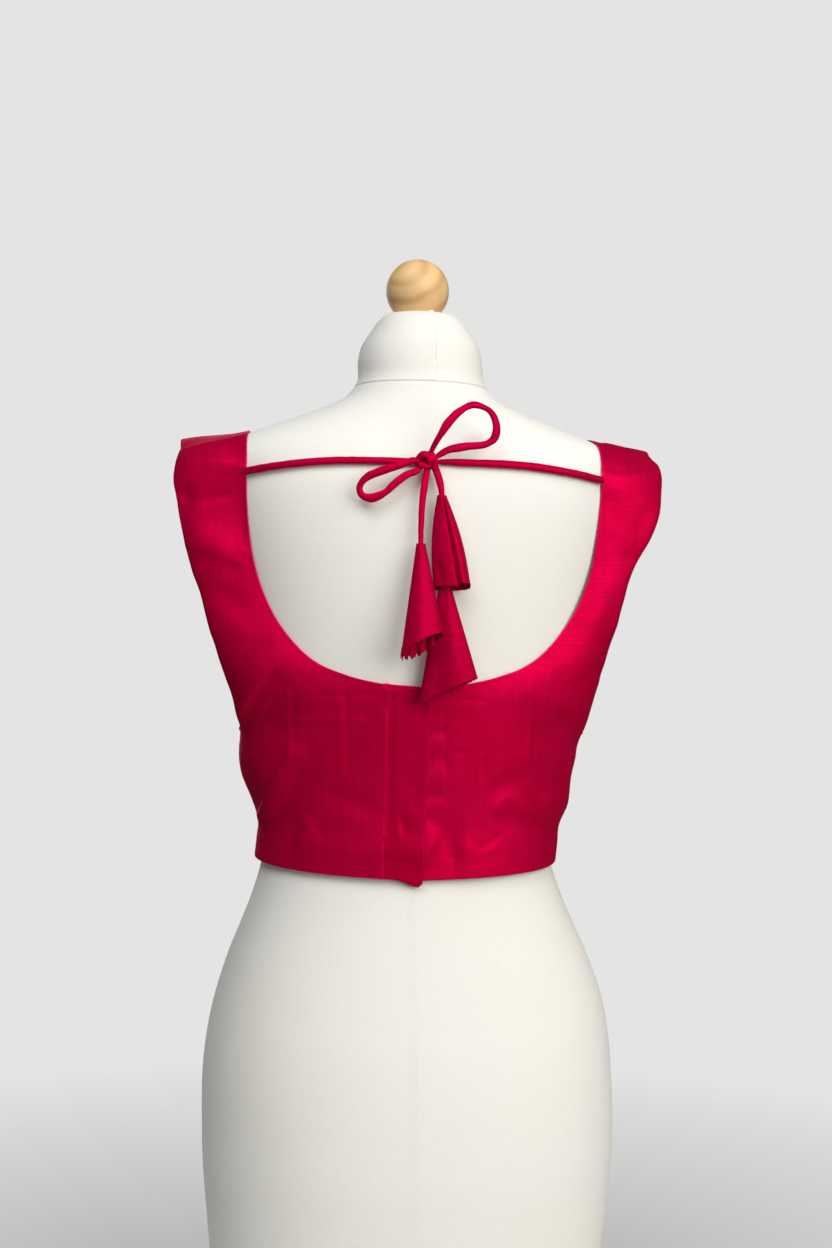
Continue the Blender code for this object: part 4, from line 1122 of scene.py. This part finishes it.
def dressFront():
    # both halves in one piece; they share the middle line below the neckline
    verts, uvs, flatHighlights, faces, index = [], [], [], [], {}
    for side, seed in ((-1, 17), (1, 12)):
        maps, shaped, edges = dressHalf(frontRows, frontPlaces, side, frontSteps, -side, readyFront,
                                        frontSpot, seed)
        for j, line in enumerate(shaped):
            for i, point in enumerate(line):
                middle = i == 0 and frontPlaces[j] <= cut["frontNeck"]
                if middle and side > 0:
                    index[(j, side, i)] = index[(j, -1, 0)]
                    continue
                if middle:
                    point.x = 0.0
                index[(j, side, i)] = len(verts)
                verts.append(point)
                uvs.append(maps[j][i])
                flatHighlights.append(edges[j][i])
    for j in range(len(frontPlaces) - 1):
        for side in (-1, 1):
            for i in range(len(frontSteps) - 1):
                face = (index[(j, side, i)], index[(j, side, i + 1)],
                        index[(j + 1, side, i + 1)], index[(j + 1, side, i)])
                faces.append(face if side < 0 else tuple(reversed(face)))
    obj = shellOf("panelFront", verts, faces, uvs, flatHighlights, panelSatin, panelLook["shell"])
    seat(obj, "satin", "front")
    return obj


backRight = dressBack("panelBackRight", 1, 2, "back_right")
backLeft = dressBack("panelBackLeft", -1, 7, "back_left")
print("back panels made")
front = dressFront()
print("front panel made")

# Placket band over the centre back, its free edge to the right, a tab below the hem
bandLook = {"left": -0.0312, "right": 0.0056, "wall": 0.0010, "proud": 0.0011, "top": 6.985,
            "columns": 44, "rows": 150, "tall": 0.15, "rowStep": 0.0175, "tab": 0.0054, "tabIn": 0.0022,
            "neckPull": 0.0018, "neckReach": 0.075}
hemHeight, neckHeight = backRows[0].inZ, backRows[cut["backNeck"]].inZ


def backAt(place, x):
    side = 1 if x >= 0 else -1
    low, high = 0.0, 1.0
    for _ in range(22):
        mid = 0.5 * (low + high)
        if abs(panelPoint(backRows, place, side, mid).x) < abs(x):
            low = mid
        else:
            high = mid
    return panelPoint(backRows, place, side, 0.5 * (low + high))


def bandTab(s):
    # how far the lower edge hangs below the hem, across the band
    return bandLook["tab"] * smoothStep((s - 0.30) / 0.60) * (1 - 0.45 * smoothStep((s - 0.90) / 0.10))


def bandEdge(z):
    # the free edge isn't straight: it leans and is drawn in at the hooks
    lean = 0.0030 * smoothStep((z - 0.50) / 0.15) - 0.0024
    return lean + 0.00035 * math.sin(z * 170.0) + 0.00015 * math.sin(z * 390.0 + 1.0)


def makeBand():
    verts, uvs, highlightShares = [], [], []
    columns = edgeSpread(bandLook["columns"])
    for j in range(bandLook["rows"] + 1):
        up = j / bandLook["rows"]
        for s in columns:
            tab = bandTab(s) / bandLook["rowStep"] - 0.004
            place = -tab + (bandLook["top"] + tab) * j / bandLook["rows"]
            x = bandLook["left"] + (bandLook["right"] - bandLook["left"]) * s
            edge = bandEdge(hemHeight + (neckHeight - hemHeight) * j / bandLook["rows"])
            x += edge * smoothStep((s - 0.5) / 0.5)
            point = backAt(place, x)
            left, right, low = x - bandLook["left"], bandLook["right"] + edge - x, up * bandLook["tall"]
            rise = creaseRise(readyBand, *photoSpot(point)) + bandLook["proud"]
            rise += 0.0004 * noise.noise(point * 60) + 0.0006 * smoothStep((0.010 - right) / 0.010) * (
                0.7 + noise.noise(Vector((0, 0, point.z * 60))))
            rise -= rollOver(right, 0.0008, 0.0004) + rollOver(left, 0.0016, 0.0010)
            rise -= rollOver(low, 0.0014, 0.0006)
            # the tab turns in under the hem, and the neckline is drawn in
            rise -= bandLook["tabIn"] * smoothStep(-place / 0.35)
            rise -= bandLook["neckPull"] * max(0.0, 1 - (neckHeight - point.z) / bandLook["neckReach"])
            # the uppermost rows follow the neckline
            topmost = smoothStep((up - 0.90) / 0.10)
            point.z += topmost * (0.0026 * (x / 0.031) ** 2 + 0.0007 * smoothStep((s - 0.6) / 0.1)
                                  * (0.6 + noise.noise(Vector((x * 700, 0, 0)))))
            verts.append(point + Vector((0, -1, 0)) * rise)
            uvs.append((x, point.z))
            # a painted highlight along the free edge and the lower edge
            highlightShares.append(0.3 * max(0.0, 1 - min(right, low) / 0.0012))
    faces = gridFaces(bandLook["rows"] + 1, bandLook["columns"])
    obj = shellOf("placketBand", verts, faces, uvs, highlightShares, bandSatin, bandLook["wall"])
    seat(obj, "satin", "placket")
    return obj


placket = makeBand()
print("placket made")

# Latkans: cones of folded cloth with raw, cut rims
ConeRow = namedtuple("ConeRow", "name headA headB rimA rimB y0 y1 thick0 thick1 lift bulge")
cones = {
    "latkanLeft": ConeRow("latkan_left", (-0.0085, 0.7715), (-0.0015, 0.7715), (-0.0197, 0.6857),
                          (0.0125, 0.7024), -0.1080, -0.1235, 0.0036, 0.0078, 0.0045, 0.0),
    "latkanUpper": ConeRow("latkan_upper", (0.0072, 0.8093), (0.0142, 0.8093), (0.0056, 0.7375),
                           (0.0340, 0.7385), -0.1038, -0.1075, 0.0035, 0.0068, 0.0015, 0.0030),
    "latkanLower": ConeRow("latkan_lower", (0.0110, 0.7480), (0.0162, 0.7480), (-0.0043, 0.6489),
                           (0.0412, 0.6690), -0.1073, -0.1050, 0.0028, 0.0058, 0.0010, 0.0),
}
coneLook = {"rows": 64, "around": 96, "wall": 0.0006, "fray": 0.0009}


def latkanFold(name, s, share, front):
    # how far a cone's cloth stands out at a place: s down the cone, share across it
    if name == "latkanUpper" and front > 0:
        line = 0.58 + 0.08 * s
        across = share - line
        lip = 0.0014 * s * math.exp(-(across / 0.25) ** 2) if across < 0 else 0.0
        groove = -0.0040 * smoothStep(s / 0.12) * math.exp(-((across - 0.02) / 0.035) ** 2)
        rolled = 0.0
        if across > 0.03:
            rolled = 0.0030 * s * math.sin(math.pi * min(1.0, (across - 0.03) / (0.97 - line))) ** 0.7
        dent = -0.0016 * math.exp(-((share - 0.16) / 0.12) ** 2 - ((s - 0.82) / 0.14) ** 2)
        return lip + groove + rolled + dent
    if name == "latkanLeft" and front > 0:
        return 0.0010 * s * math.exp(-((share - 0.40 - 0.06 * s) / 0.16) ** 2) - 0.0006 * math.exp(
            -((share - 0.72) / 0.12) ** 2) * s
    if name == "latkanLower" and front > 0:
        return -0.0012 * math.exp(-((share - 0.30) / 0.18) ** 2) * s + 0.0005 * math.exp(
            -((share - 0.66) / 0.12) ** 2)
    return 0.0007 * noise.noise(Vector((share * 4, s * 5, 3)))


def makeLatkan(name):
    row = cones[name]
    headA, headB, rimA, rimB = [Vector((x, 0, z)) for x, z in (row.headA, row.headB, row.rimA, row.rimB)]
    verts, uvs, highlightShares = [], [], []
    rows, around = coneLook["rows"], coneLook["around"]
    for j in range(rows):
        s = (j / (rows - 1)) ** 0.92
        a, b = headA.lerp(rimA, s), headB.lerp(rimB, s)
        reach = 0.5 * (b - a)
        reach += reach.normalized() * row.bulge * math.sin(math.pi * s)
        centre = 0.5 * (a + b)
        centre.y = row.y0 + (row.y1 - row.y0) * s
        thick = row.thick0 + (row.thick1 - row.thick0) * s
        for i in range(around):
            turn = 2 * math.pi * i / around
            across, front = math.cos(turn), math.sin(turn)
            shaped = math.copysign(abs(front) ** 1.25, front)     # a flatter, crisper section
            point = centre + reach * across
            point.y -= thick * shaped + latkanFold(name, s, 0.5 + 0.5 * across, front) * abs(front) ** 0.5
            point.z += row.lift * front * s ** 3 * (1.0 if front > 0 else 1.5)
            if name == "latkanUpper" and front > 0 and across > 0.3:
                point.z += 0.0022 * s ** 8 * smoothStep((across - 0.3) / 0.2)
            if name == "latkanLeft" and front < 0:
                # the turned-in cloth at the back is crumpled and ragged
                point.y += 0.0016 * math.sin(turn * 13) * s ** 8
                point.z += (0.0013 * math.sin(turn * 17 + 1) + 0.0010 * math.sin(turn * 31)) * s ** 14
            if j == rows - 1:
                point.z += coneLook["fray"] * noise.noise(Vector((turn * 9, 0, len(name))))
            point += Vector((0, -1, 0)) * 0.00025 * noise.noise(point * 180)
            verts.append(point)
            uvs.append((turn * reach.length * 0.62, -(headA - a).length))
            # a painted highlight along the rim and down the folded sides
            highlightShares.append(max(0.0, 0.4 - (1 - s) * 40) + 0.25 * max(0.0, 1 - abs(front) * 14))
    rim = verts[-around:]
    # the head is gathered onto the cord
    tip = len(verts)
    verts.append(sum(verts[:around], Vector()) / around + Vector((0, 0, 0.0008)))
    uvs.append((0, 0.001))
    highlightShares.append(0.0)
    faces = gridFaces(rows, around, True) + [(tip, (i + 1) % around, i) for i in range(around)]
    obj = shellOf(name, verts, faces, uvs, highlightShares, latkanSatin, coneLook["wall"])
    seat(obj, "satin", row.name)
    return obj, rim


# Loose threads of a cut rim: thin, bent, three sided
threadLook = {"count": 34, "radius": 0.00010, "short": 0.0008, "long": 0.0022}


def makeThreads(name, rim, seed, extra=()):
    draw = random.Random(seed)
    strands = []
    for _ in range(threadLook["count"]):
        start = rim[draw.randrange(len(rim))] + Vector((0, 0, 0.0004))
        lean = Vector((draw.uniform(-0.5, 0.5), draw.uniform(-0.35, 0.35), -1)).normalized()
        size = draw.uniform(threadLook["short"], threadLook["long"])
        strands.append([start, start + lean * size * 0.5,
                        start + lean * size + Vector((draw.uniform(-0.4, 0.4), 0, 0)) * size])
    verts, faces, flat = [], [], []
    for strand in strands + list(extra):
        rings = []
        for k, point in enumerate(route(strand, 6)):
            size = threadLook["radius"] * (1 - 0.6 * k / 5)
            rings.append([point + Vector((math.cos(t), math.sin(t), 0)) * size
                          for t in (0, 2.0944, 4.1888)])
        tubeFrom(rings, [[(0, k * 0.0004)] * 3 for k in range(6)], verts, faces, flat)
    # the threads are lightened all over by the painted highlight
    obj = newPiece(name, verts, faces, latkanSatin, flat, [0.2] * len(verts))
    seat(obj, "satin")
    return obj


latkanLeft, rimLeft = makeLatkan("latkanLeft")
latkanUpper, rimUpper = makeLatkan("latkanUpper")
latkanLower, rimLower = makeLatkan("latkanLower")
looseThread = [[(-0.0045, -0.1190, 0.6870), (-0.0048, -0.1192, 0.6840), (-0.0045, -0.1190, 0.6805)]]
threadsLeft = makeThreads("latkanLeftThreads", rimLeft, 5, looseThread)
threadsUpper = makeThreads("latkanUpperThreads", rimUpper, 6)
threadsLower = makeThreads("latkanLowerThreads", rimLower, 7)
print("latkans made")

# Stitches, small and in the cloth's own colour, laid on the back panels and the band
stitchLook = {"step": 0.0030, "radius": 0.00022, "sink": 0.0002, "lift": 0.00006,
              "taper": (0.35, 0.9, 1.0, 0.9, 0.35)}
backPoints, backFaces = [], []
for obj in (backRight, backLeft, placket):
    firstPoint = len(backPoints)
    backPoints += [v.co for v in obj.data.vertices]
    backFaces += [tuple(firstPoint + n for n in p.vertices) for p in obj.data.polygons]
backTree = BVHTree.FromPolygons(backPoints, backFaces)


def onBack(x, y):
    # the cloth's surface behind a pixel of the photograph
    ray = (shotAhead + shotRight * ((x - shot["wide"] / 2) / shot["focal"])
           - shotUp * ((y - shot["tall"] / 2) / shot["focal"]))
    return backTree.ray_cast(shotPlace, ray.normalized())[:2]


def sew(name, lines):
    verts, faces, flat = [], [], []
    for line in lines:
        found = [onBack(p.x, p.y) for p in route([Vector((x, y, 0)) for x, y in line], 120)]
        points = [spot + normal * stitchLook["lift"] for spot, normal in found if spot is not None]
        fine = spread(points, max(4, int(lengthOf(points) / stitchLook["step"]) * 6))
        for k in range(0, len(fine) - 5, 6):
            stitch = fine[k:k + 5]
            tangent = (stitch[-1] - stitch[0]).normalized()
            side = tangent.cross(Vector((0, -1, 0))).normalized()
            out = side.cross(tangent)
            rings = []
            for n, point in enumerate(stitch):
                size = stitchLook["radius"] * stitchLook["taper"][n]
                sink = Vector((0, 1, 0)) * (stitchLook["sink"] if n in (0, 4) else 0.0)
                rings.append([point + sink + (side * math.cos(t) + out * math.sin(t)) * size
                              for t in [math.pi * m / 3 for m in range(6)]])
            tubeFrom(rings, [[(0, n * 0.0004)] * 6 for n in range(5)], verts, faces, flat)
    obj = newPiece(name, verts, faces, cordSatin, flat, [0.0] * len(verts))
    facesOutward(obj)
    seat(obj, "satin")


sew("placketStitches", [
    [(392.2, 688), (391.9, 724), (391.0, 770), (389.6, 812), (388.0, 856), (388.2, 874)],
    [(445.0, 700), (445.6, 735), (446.4, 790)]])
print("stitches made")

# The dress form in jersey, finer than its solid: seams down the torso; on the neck a cover that
# overlaps a little to the right of the middle, with a groove along the overlap, a slit beside it,
# a small corner at the top and a lip at the bottom
torsoLook = {"around": 144, "up": 210, "seamRaise": 0.0005, "seamSink": 0.0004}
neckLook = {"around": 560, "up": 64, "aside": 0.0012, "right": 0.0090, "overlap": 0.0011, "reach": 0.030,
            "groove": 0.0007, "grooveWide": 0.0010, "slit": 0.0022, "slitWide": 0.0009, "slitAside": 0.0026,
            "corner": 0.0012, "cornerWide": 0.0026, "cornerAside": 0.0030,
            "lip": 0.0003, "lipHeight": 0.9056, "lipWide": 0.0012, "lowered": 0.0003}


def seamAt(turn, middle, width):
    far = abs(turn - middle)
    return math.exp(-(min(far, 4 - far) / width) ** 2)


def torsoRelief(turn):
    raised = torsoLook["seamRaise"] * (seamAt(turn, 0.985, 0.010) + seamAt(turn, 3.015, 0.010))
    return raised - torsoLook["seamSink"] * (seamAt(turn, 0.960, 0.008) + seamAt(turn, 3.040, 0.008))


def neckRelief(row, point):
    # how far the cover stands out at a point, and how far the point is lifted
    look = neckLook
    angle = math.atan2(point.x - look["aside"] - look["right"] * (1 if row.z < 0.96 else 0.8), -point.y)
    along = angle * row.half
    raised = look["overlap"] * smoothStep(0.5 - along / 0.0012) * math.exp(
        -(max(0.0, -along) / look["reach"]) ** 2) * smoothStep((row.z - 0.9040) / 0.006)
    raised -= look["groove"] * math.exp(-(along / look["grooveWide"]) ** 2)
    slit = smoothStep((0.951 - row.z) / 0.003) * smoothStep((row.z - 0.920) / 0.003)
    raised -= look["slit"] * slit * math.exp(-((along + look["slitAside"]) / look["slitWide"]) ** 2)
    raised += look["lip"] * math.exp(-((row.z - look["lipHeight"]) / look["lipWide"]) ** 2)
    corner = math.exp(-((along + look["cornerAside"]) / look["cornerWide"]) ** 2)
    return raised, look["corner"] * smoothStep((row.z - 0.9610) / 0.003) * corner


def capForm(verts, uvs, faces, start, around, flip):
    # a cap in two rings, so that it shades flat
    ring = verts[start:start + around]
    middle = sum(ring, Vector()) / around
    rims = [start]
    for share in (0.97, 0.5):
        rims.append(len(verts))
        verts += [middle.lerp(p, share) for p in ring]
        uvs += [(p.x, p.y) for p in ring]
    verts.append(middle)
    uvs.append((0, 0))
    cap = []
    for low, high in zip(rims, rims[1:]):
        for i in range(around):
            k = (i + 1) % around
            cap.append((low + i, low + k, high + k, high + i))
    cap += [(rims[-1] + i, rims[-1] + (i + 1) % around, len(verts) - 1) for i in range(around)]
    faces += [tuple(reversed(face)) if flip else face for face in cap]


def makeForm(name, rows, look, node):
    verts, uvs, around = [], [], look["around"]
    read = [rowAt(rows, place) for place in evenPlaces(rows, look["up"], formStep)]
    runs = runOf(formStep(a, b) for a, b in zip(read, read[1:]))
    for j, row in enumerate(read):
        for i in range(around):
            turn = 4 * i / around
            point = formPoint(row, turn)
            way = Vector((point.x - row.shift, point.y, 0)).normalized()
            if look is neckLook:
                raised, lift = neckRelief(row, point)
                point.z += lift
                point.z -= look["lowered"] if j == 0 else 0.0
            else:
                raised = torsoRelief(turn)
            raised += 0.0002 * noise.noise(point * 14)
            verts.append(point + way * raised)
            uvs.append((i / around * 0.9, runs[j]))
    faces = gridFaces(len(read), around, True)
    capForm(verts, uvs, faces, 0, around, True)
    capForm(verts, uvs, faces, (len(read) - 1) * around, around, False)
    obj = newPiece(name, verts, faces, formJersey, uvs)
    turnOutward(obj)
    seat(obj, "jersey", node)
    return obj


torso = makeForm("formTorsoJersey", formRows, torsoLook, "form_torso")
makeForm("formNeckJersey", neckRows, neckLook, "form_neck")
print("form made")

# Turned beech: ball, pole and base
ballLook = {"radius": 0.0262, "x": -0.004, "z": 0.9868, "flat": 0.9658, "bevel": 0.0005}


def makeBall():
    # a ball with a flat underside
    pick(torso)
    bpy.ops.mesh.primitive_uv_sphere_add(segments=72, ring_count=44, radius=ballLook["radius"],
                                         location=(ballLook["x"], 0, ballLook["z"]))
    ball = bpy.context.active_object
    ball.name = "finialBall"
    bpy.ops.object.transform_apply(location=True, rotation=True, scale=True)
    bpy.ops.object.mode_set(mode="EDIT")
    bpy.ops.mesh.select_all(action="SELECT")
    bpy.ops.mesh.bisect(plane_co=(0, 0, ballLook["flat"]), plane_no=(0, 0, -1), use_fill=True,
                        clear_outer=True)
    bpy.ops.object.mode_set(mode="OBJECT")
    bevel = ball.modifiers.new("bevel", "BEVEL")
    bevel.width = ballLook["bevel"]
    bevel.segments = 2
    bevel.limit_method = "ANGLE"
    bevel.angle_limit = math.radians(30)
    applyModifiers(ball)
    ball.data.materials.append(ballBeech)
    bpy.ops.object.shade_smooth_by_angle(angle=math.radians(40))
    seat(ball, "beech", "form_finial")


# Half profiles of the base and the pole, as (radius, height)
basePoints = [(0.0, 0.0), (0.157, 0.0), (0.1592, 0.0008), (0.160, 0.0030), (0.160, 0.0075),
              (0.1590, 0.0105), (0.1562, 0.0126), (0.1525, 0.0134), (0.1490, 0.0136), (0.060, 0.0140),
              (0.0, 0.0140)]
polePoints = [(0.0, 0.0143), (0.0125, 0.0143), (0.0125, 0.1297), (0.0, 0.1297)]


def spun(name, profile, node, segments):
    mesh = bpy.data.meshes.new(name)
    edges = [(i, i + 1) for i in range(len(profile) - 1)]
    mesh.from_pydata([(x, 0, z) for x, z in profile], edges, [])
    obj = bpy.data.objects.new(name, mesh)
    scene.collection.objects.link(obj)
    pick(obj)
    bpy.ops.object.mode_set(mode="EDIT")
    bpy.ops.mesh.select_all(action="SELECT")
    bpy.ops.mesh.spin(steps=segments, angle=2 * math.pi, center=(0, 0, 0), axis=(0, 0, 1))
    bpy.ops.mesh.select_all(action="SELECT")
    bpy.ops.mesh.remove_doubles(threshold=0.00001)
    bpy.ops.mesh.normals_make_consistent(inside=False)
    bpy.ops.object.mode_set(mode="OBJECT")
    obj.data.materials.append(standBeech)
    bpy.ops.object.shade_smooth_by_angle(angle=math.radians(30))
    turnOutward(obj)
    seat(obj, "beech", node)


makeBall()
spun("standBase", basePoints, "form_base", 120)
spun("standPole", polePoints, "form_pole", 64)
print("stand made")

# Each cord is attached to the root in place of its solid, which is hidden
for obj, node in ((tieLeft, "tie_left"), (tieRight, "tie_right"), (loopUpper, "loop_upper"),
                  (loopLower, "loop_lower"), (endLeft, "end_left"), (endRight, "end_right")):
    seat(obj, "satin", node)


# Floor, world and lights
studio = {"paper": (0.78, 0.78, 0.775), "world": (0.775, 0.775, 0.772), "fill": 0.09,
          "key": 103.0, "side": 1.5, "top": 37.0, "back": 22.0, "floor": 1.32}


def makeFloor():
    # pale paper that fades out at its rim
    pick(torso)
    bpy.ops.mesh.primitive_circle_add(vertices=96, radius=studio["floor"], fill_type="NGON",
                                      location=(0, 0, -0.0004))
    floor = bpy.context.active_object
    floor.name = "floor"
    bpy.ops.object.transform_apply(location=True, rotation=True, scale=True)
    material, tree, shader = newMaterial("floorPaper")
    place = addNode(tree, "ShaderNodeTexCoord").outputs["Object"]
    grain = noiseOf(tree, place, 240.0, 3.0)
    paper = mixed(tree, grain, studio["paper"], tuple(c * 0.985 for c in studio["paper"]))
    tree.links.new(paper, shader.inputs["Base Color"])
    setSockets(shader, Roughness=0.9, Specular_IOR_Level=0.1)
    length = addNode(tree, "ShaderNodeVectorMath", {"operation": "LENGTH"})
    tree.links.new(place, length.inputs[0])
    tree.links.new(ranged(tree, length.outputs["Value"], 0.35, 1.3, 1.0, 0.0), shader.inputs["Alpha"])
    floor.data.materials.append(material)


def makeWorld():
    # the camera sees a pale backdrop, and a weaker share of it lights the object
    world = bpy.data.worlds.new("studio")
    scene.world = world
    world.use_nodes = True
    tree = world.node_tree
    backdrop = tree.nodes["Background"]
    setSockets(backdrop, Color=(*studio["world"], 1.0))
    sight = addNode(tree, "ShaderNodeLightPath").outputs["Is Camera Ray"]
    tree.links.new(ranged(tree, sight, 0.0, 1.0, studio["fill"], 1.0), backdrop.inputs["Strength"])


def softLight(name, spot, aim, size, power, colour=(1.0, 1.0, 1.0)):
    data = bpy.data.lights.new(name, "AREA")
    data.shape = "DISK"
    data.size = size
    data.energy = power
    data.color = colour
    obj = bpy.data.objects.new(name, data)
    scene.collection.objects.link(obj)
    obj.location = spot
    obj.rotation_euler = (Vector(aim) - Vector(spot)).to_track_quat("-Z", "Y").to_euler()


makeFloor()
makeWorld()
softLight("keyLight", (1.85, -2.58, 1.90), (0, 0, 0.78), 3.2, studio["key"], (1.0, 0.985, 0.955))
softLight("sideLight", (-2.3, -0.3, 1.2), (0, 0, 0.75), 2.0, studio["side"], (0.94, 0.97, 1.0))
softLight("topLight", (-0.55, -1.45, 2.6), (0, 0, 0.8), 1.8, studio["top"], (0.93, 0.95, 1.0))
softLight("frontLight", (-0.5, 2.7, 1.3), (0, 0, 0.7), 2.4, studio["back"])
print("floor, world and lights set")
